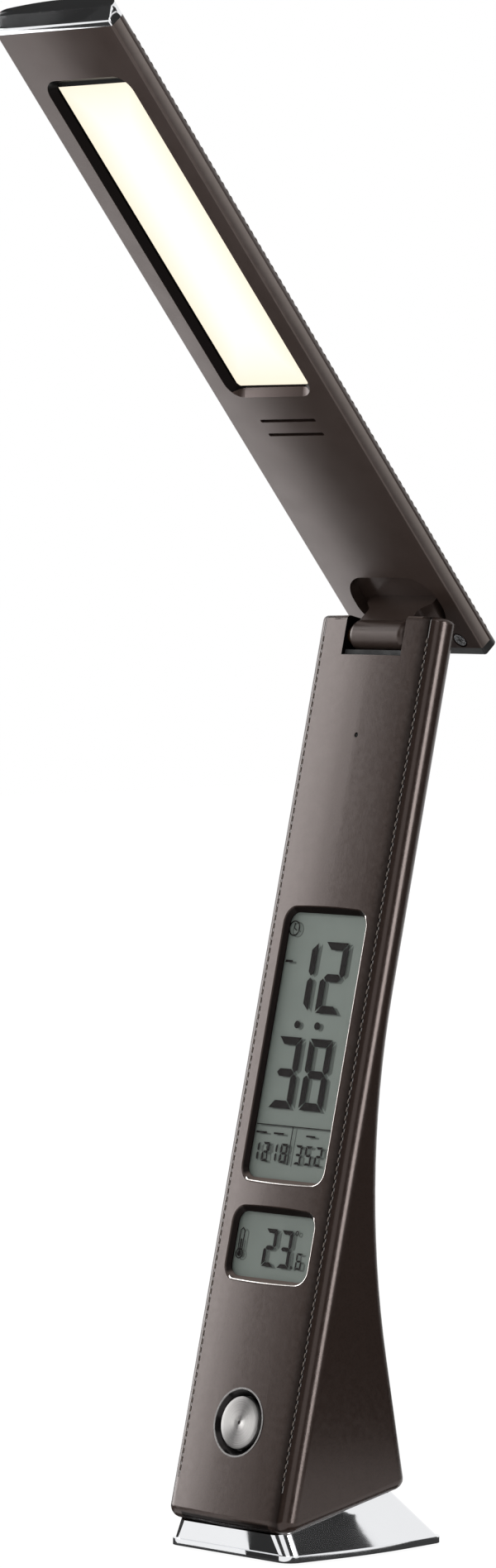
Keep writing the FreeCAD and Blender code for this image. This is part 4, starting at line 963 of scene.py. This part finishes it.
def thin_lens(node):
    """Lens whose back stands a little clear of its display, so that each is a surface of its own."""
    solid = frame["nodes"][node]
    bm = bmesh.new()
    bm.from_mesh(solid.data)
    bmesh.ops.remove_doubles(bm, verts=bm.verts, dist=MERGE)
    bmesh.ops.transform(bm, matrix=STAND.inverted() @ solid.matrix_world, verts=bm.verts)
    for vert in bm.verts:
        if vert.co.y > LCD_FRONT - LENS_PLAY:
            vert.co.y -= LENS_PLAY
    piece = made_piece(node + "_pane", bm, STAND, "stand", solid.data.materials[0])
    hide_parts(node)


class LAMP_OT_displays(bpy.types.Operator):
    """Set the clock's and thermometer's figures, and their shadows on the display's back"""

    bl_idname = "lamp.displays"
    bl_label = "Displays"

    def execute(self, context):
        scene = context.scene
        displays = scene.lamp_displays
        colours = scene.lamp_colours
        ink = plain_finish("display_ink", tuple(colours.ink), 0.6, 0.3, 0.004,
                           Specular_IOR_Level=0.08).material
        # The bars' shadows carry the same painted glow.
        shade = plain_finish("display_shade", tuple(colours.shade), 0.6, 0.3, 0.004, spread=0.04,
                             Specular_IOR_Level=0.1, Emission_Color=(*colours.shade, 1.0),
                             Emission_Strength=PAINTED_DISPLAY_GLOW).material
        for node in ("clock_lens", "thermometer_lens"):
            thin_lens(node)
        shadow = displays.shadow / MM
        layers = (
            ("figures", ink, (0, LCD_FRONT - FIGURE_LIFT, 0)),
            ("shadows", shade, (shadow, LCD_FRONT - SHADOW_LIFT, -shadow * SHADOW_DROP)),
        )
        for layer, material, place in layers:
            clock = bmesh.new()
            draw_clock(clock, displays)
            thermometer = bmesh.new()
            draw_thermometer(thermometer)
            for name, bm in (("clock_", clock), ("thermometer_", thermometer)):
                bmesh.ops.translate(bm, vec=place, verts=bm.verts)
                made_piece(name + layer, bm, STAND, "stand", material)
        return {"FINISHED"}


def draw_cross(bm, matrix, depth):
    """Dark cross of painted shade for a screw head's recess, drawn in its own plane and set in place."""
    cross = bmesh.new()
    for turn in (0.0, math.pi / 2):
        tip = Vector((math.cos(turn), math.sin(turn))) * CROSS_REACH
        flat_plate(cross, strip_points(-tip, tip, CROSS_WIDTH), 0.0, depth)
    bmesh.ops.transform(cross, matrix=matrix, verts=cross.verts)
    mesh = bpy.data.meshes.new("cross")
    cross.to_mesh(mesh)
    cross.free()
    bm.from_mesh(mesh)
    bpy.data.meshes.remove(mesh)


class LAMP_OT_screw_recesses(bpy.types.Operator):
    """Mark the cross recesses of the screws that show with thin plates of painted shade"""

    bl_idname = "lamp.screw_recesses"
    bl_label = "Screw recesses"

    def execute(self, context):
        dark = plain_finish("recess_shadow", tone(20, 20, 20), 0.6, 0.4, 0.01).material
        head = bmesh.new()
        for side in (-1, 1):
            spot = Vector((side * HEAD_SCREW.x, HEAD_SCREW.y, HEAD_SCREW.z))
            draw_cross(head, Matrix.Translation(spot), -THIN)
        made_piece("head_screw_recesses", head, HEAD, "head", dark)
        cover = bmesh.new()
        to_stand = STAND.inverted()
        up_face = Vector((0, -math.sin(REAR_SLOPE), math.cos(REAR_SLOPE)))
        foot = to_stand @ (REAR_FOOT * MM)
        up_local = (to_stand.to_3x3() @ up_face).normalized()
        low_spot = foot + up_local * ((COVER_SCREW_LOW - foot.z) / up_local.z)
        turn = math.atan2(-up_local.y, up_local.z)
        for side in (-COVER_SCREW_X, COVER_SCREW_X):
            high = Vector((side, STAND_THICK, COVER_SCREW_HIGH))
            draw_cross(cover, Matrix.Translation(high), THIN)
            low = Matrix.Translation(low_spot + Vector((side, 0, 0))) @ Matrix.Rotation(turn, 4, "X")
            draw_cross(cover, low, THIN)
        made_piece("cover_screw_recesses", cover, STAND, "stand", dark)
        return {"FINISHED"}


class LAMP_OT_key_marks(bpy.types.Operator):
    """Print a minus, a ring and a plus on the setting buttons"""

    bl_idname = "lamp.key_marks"
    bl_label = "Key marks"

    def execute(self, context):
        white = plain_finish("mark_print", tone(200, 198, 194), 0.5, 0.3, 0.004, spread=0.05).material
        reach = MARK_REACH
        width = MARK_WIDTH
        front = SET_CAP_BACK - THIN / 2
        back = SET_CAP_BACK + THIN / 2
        for key, rise in SET_RISES.items():
            mark = bmesh.new()
            if key == "set":
                flat_ring(mark, (0, rise), reach, reach - width, front, back)
            else:
                flat_plate(mark, strip_points((-reach, rise), (reach, rise), width), front, back)
            if key == "up":
                for start, end in ((-reach, -width / 2), (width / 2, reach)):
                    flat_plate(mark, strip_points((0, rise + start), (0, rise + end), width), front, back)
            made_piece(key + "_mark", mark, STAND, key + "_key", white)
        return {"FINISHED"}


def floor_material():
    """Pale floor that looks near white and keeps the lamp's shadow."""
    paint = Paint("floor", {"Base Color": tone(236, 236, 236), "Roughness": 0.9, "Specular IOR Level": 0.1})
    rays = paint.node("ShaderNodeLightPath", {}).outputs
    seen = paint.math("MAXIMUM", rays["Is Camera Ray"], rays["Is Glossy Ray"])
    seen = paint.math("MAXIMUM", seen, rays["Is Transmission Ray"])
    white = paint.node("ShaderNodeEmission", {"Color": (1, 1, 1), "Strength": 1.12})
    inputs = {0: paint.times(seen, 0.86), 1: paint.surface.outputs[0], 2: white.outputs[0]}
    mix = paint.node("ShaderNodeMixShader", inputs)
    paint.tree.links.new(mix.outputs[0], paint.tree.nodes["Material Output"].inputs["Surface"])
    return paint.material


def card_material(name, level):
    """Plain studio card of one brightness."""
    paint = Paint(name, {"Base Color": (0, 0, 0), "Roughness": 1.0, "Specular IOR Level": 0.0,
                         "Emission Color": (level, level, level), "Emission Strength": 1.0})
    return paint.material


def stage_plane(name, matrix, width, height, material):
    """Flat sheet of the studio."""
    bm = bmesh.new()
    bmesh.ops.create_grid(bm, x_segments=1, y_segments=1, size=0.5)
    bmesh.ops.transform(bm, matrix=matrix @ Matrix.Diagonal((width, height, 1, 1)), verts=bm.verts)
    mesh = bpy.data.meshes.new(name)
    bm.to_mesh(mesh)
    bm.free()
    mesh.materials.append(material)
    sheet = bpy.data.objects.new(name, mesh)
    bpy.context.scene.collection.objects.link(sheet)
    return sheet


def facing(spot, target):
    """Placement at a spot, with -Z towards a target."""
    turn = (Vector(target) - Vector(spot)).to_track_quat("-Z", "Y").to_matrix().to_4x4()
    return Matrix.Translation(spot) @ turn


def add_light(name, spot, target, size, power):
    """Soft rectangular lamp aimed at a point."""
    light = bpy.data.lights.new(name, "AREA")
    light.shape = "RECTANGLE"
    light.size, light.size_y = size
    light.energy = power
    lamp = bpy.data.objects.new(name, light)
    lamp.matrix_world = facing(spot, target)
    bpy.context.scene.collection.objects.link(lamp)


def add_world(level):
    """White backdrop to the eye and in reflections, softer as light."""
    world = bpy.data.worlds.new("studio")
    world.use_nodes = True
    bpy.context.scene.world = world
    tree = world.node_tree
    background = tree.nodes["Background"]
    background.inputs["Color"].default_value = (1, 1, 1, 1)
    rays = tree.nodes.new("ShaderNodeLightPath").outputs
    total = rays["Is Camera Ray"]
    for kind in ("Is Glossy Ray", "Is Transmission Ray"):
        both = tree.nodes.new("ShaderNodeMath")
        both.operation = "MAXIMUM"
        tree.links.new(total, both.inputs[0])
        tree.links.new(rays[kind], both.inputs[1])
        total = both.outputs[0]
    span = tree.nodes.new("ShaderNodeMapRange")
    span.inputs["To Min"].default_value = level
    tree.links.new(total, span.inputs["Value"])
    tree.links.new(span.outputs[0], background.inputs["Strength"])


def add_cards():
    """Dark and bright cards that only the lamp's glossy faces show."""
    placed = [(name, facing(spot, MIDDLE), *rest) for name, (spot, *rest) in CARDS.items()]
    for name, ((x, y), turn, *rest) in FLOOR_CARDS.items():
        place = Matrix.Translation((x, y, FLOOR_GAP)) @ Matrix.Rotation(math.radians(turn), 4, "Z")
        placed.append((name, place, *rest))
    for name, place, width, height, level in placed:
        card = stage_plane(name, place, width, height, card_material(name, level))
        for rays in ("camera", "diffuse", "shadow", "transmission"):
            setattr(card, "visible_" + rays, False)


def add_camera():
    """Long lens that looks slightly down on the lamp from its right."""
    camera = bpy.data.cameras.new("camera")
    camera.lens = CAMERA_LENS
    camera.sensor_width = 36.0
    camera.sensor_fit = "AUTO"
    camera.clip_start = 0.05
    camera.clip_end = 30.0
    view = bpy.data.objects.new("camera", camera)
    yaw = Matrix.Rotation(math.radians(CAMERA_YAW), 4, "Z")
    pitch = Matrix.Rotation(math.radians(90 + CAMERA_PITCH), 4, "X")
    view.matrix_world = Matrix.Translation(CAMERA_SPOT) @ yaw @ pitch
    bpy.context.scene.collection.objects.link(view)
    bpy.context.scene.camera = view


class LAMP_OT_stage(bpy.types.Operator):
    """Set up the floor, cards, lights, backdrop and camera"""

    bl_idname = "lamp.stage"
    bl_label = "Stage"

    def execute(self, context):
        context.scene.view_settings.view_transform = "Standard"
        under = Matrix.Translation((0, 0, -FLOOR_GAP))
        stage_plane("floor", under, FLOOR_WIDTH, FLOOR_WIDTH, floor_material())
        add_cards()
        add_world(WORLD_LIGHT)
        for name, (spot, size, power) in LIGHTS.items():
            add_light(name, spot, MIDDLE, size, power)
        add_camera()
        return {"FINISHED"}


class LAMP_PT_build(bpy.types.Panel):
    """Lists the lamp's settings and steps"""

    bl_label = "Folding desk lamp"
    bl_space_type = "VIEW_3D"
    bl_region_type = "UI"
    bl_category = "Lamp"

    def draw(self, context):
        for group in (context.scene.lamp_colours, context.scene.lamp_stitching, context.scene.lamp_displays):
            box = self.layout.box()
            for setting in group.__annotations__:
                box.prop(group, setting)
        for step in STEPS:
            self.layout.operator(step.bl_idname)


STEPS = (
    LAMP_OT_finishes,
    LAMP_OT_window_rims,
    LAMP_OT_notch_shade_strip,
    LAMP_OT_tip,
    LAMP_OT_stand_stitching,
    LAMP_OT_head_stitching,
    LAMP_OT_power_disc,
    LAMP_OT_displays,
    LAMP_OT_screw_recesses,
    LAMP_OT_key_marks,
    LAMP_OT_stage,
)
SETTINGS = {
    "lamp_colours": LampColours,
    "lamp_stitching": LampStitching,
    "lamp_displays": LampDisplays,
}
CLASSES = (*SETTINGS.values(), *STEPS, LAMP_PT_build)


def register():
    """Adds the lamp's settings, steps and panel."""
    for made in CLASSES:
        bpy.utils.register_class(made)
    for name, group in SETTINGS.items():
        setattr(bpy.types.Scene, name, PointerProperty(type=group))


def unregister():
    """Takes them away again."""
    for name in SETTINGS:
        delattr(bpy.types.Scene, name)
    for made in reversed(CLASSES):
        bpy.utils.unregister_class(made)


def clear_scene():
    """Removes what a new file holds besides the lamp's solids."""
    kept = set(frame["nodes"].values()) | set(frame["bodies"].values())
    for thing in list(bpy.data.objects):
        if thing not in kept:
            bpy.data.objects.remove(thing)


def main():
    """Builds the looks step by step."""
    register()
    clear_scene()
    bpy.ops.lamp.finishes()
    bpy.ops.lamp.window_rims()
    bpy.ops.lamp.notch_seal()
    bpy.ops.lamp.tip()
    bpy.ops.lamp.stand_stitching()
    bpy.ops.lamp.head_stitching()
    bpy.ops.lamp.power_disc()
    bpy.ops.lamp.displays()
    bpy.ops.lamp.screw_recesses()
    bpy.ops.lamp.key_marks()
    bpy.ops.lamp.stage()


if __name__ == "__main__":
    main()
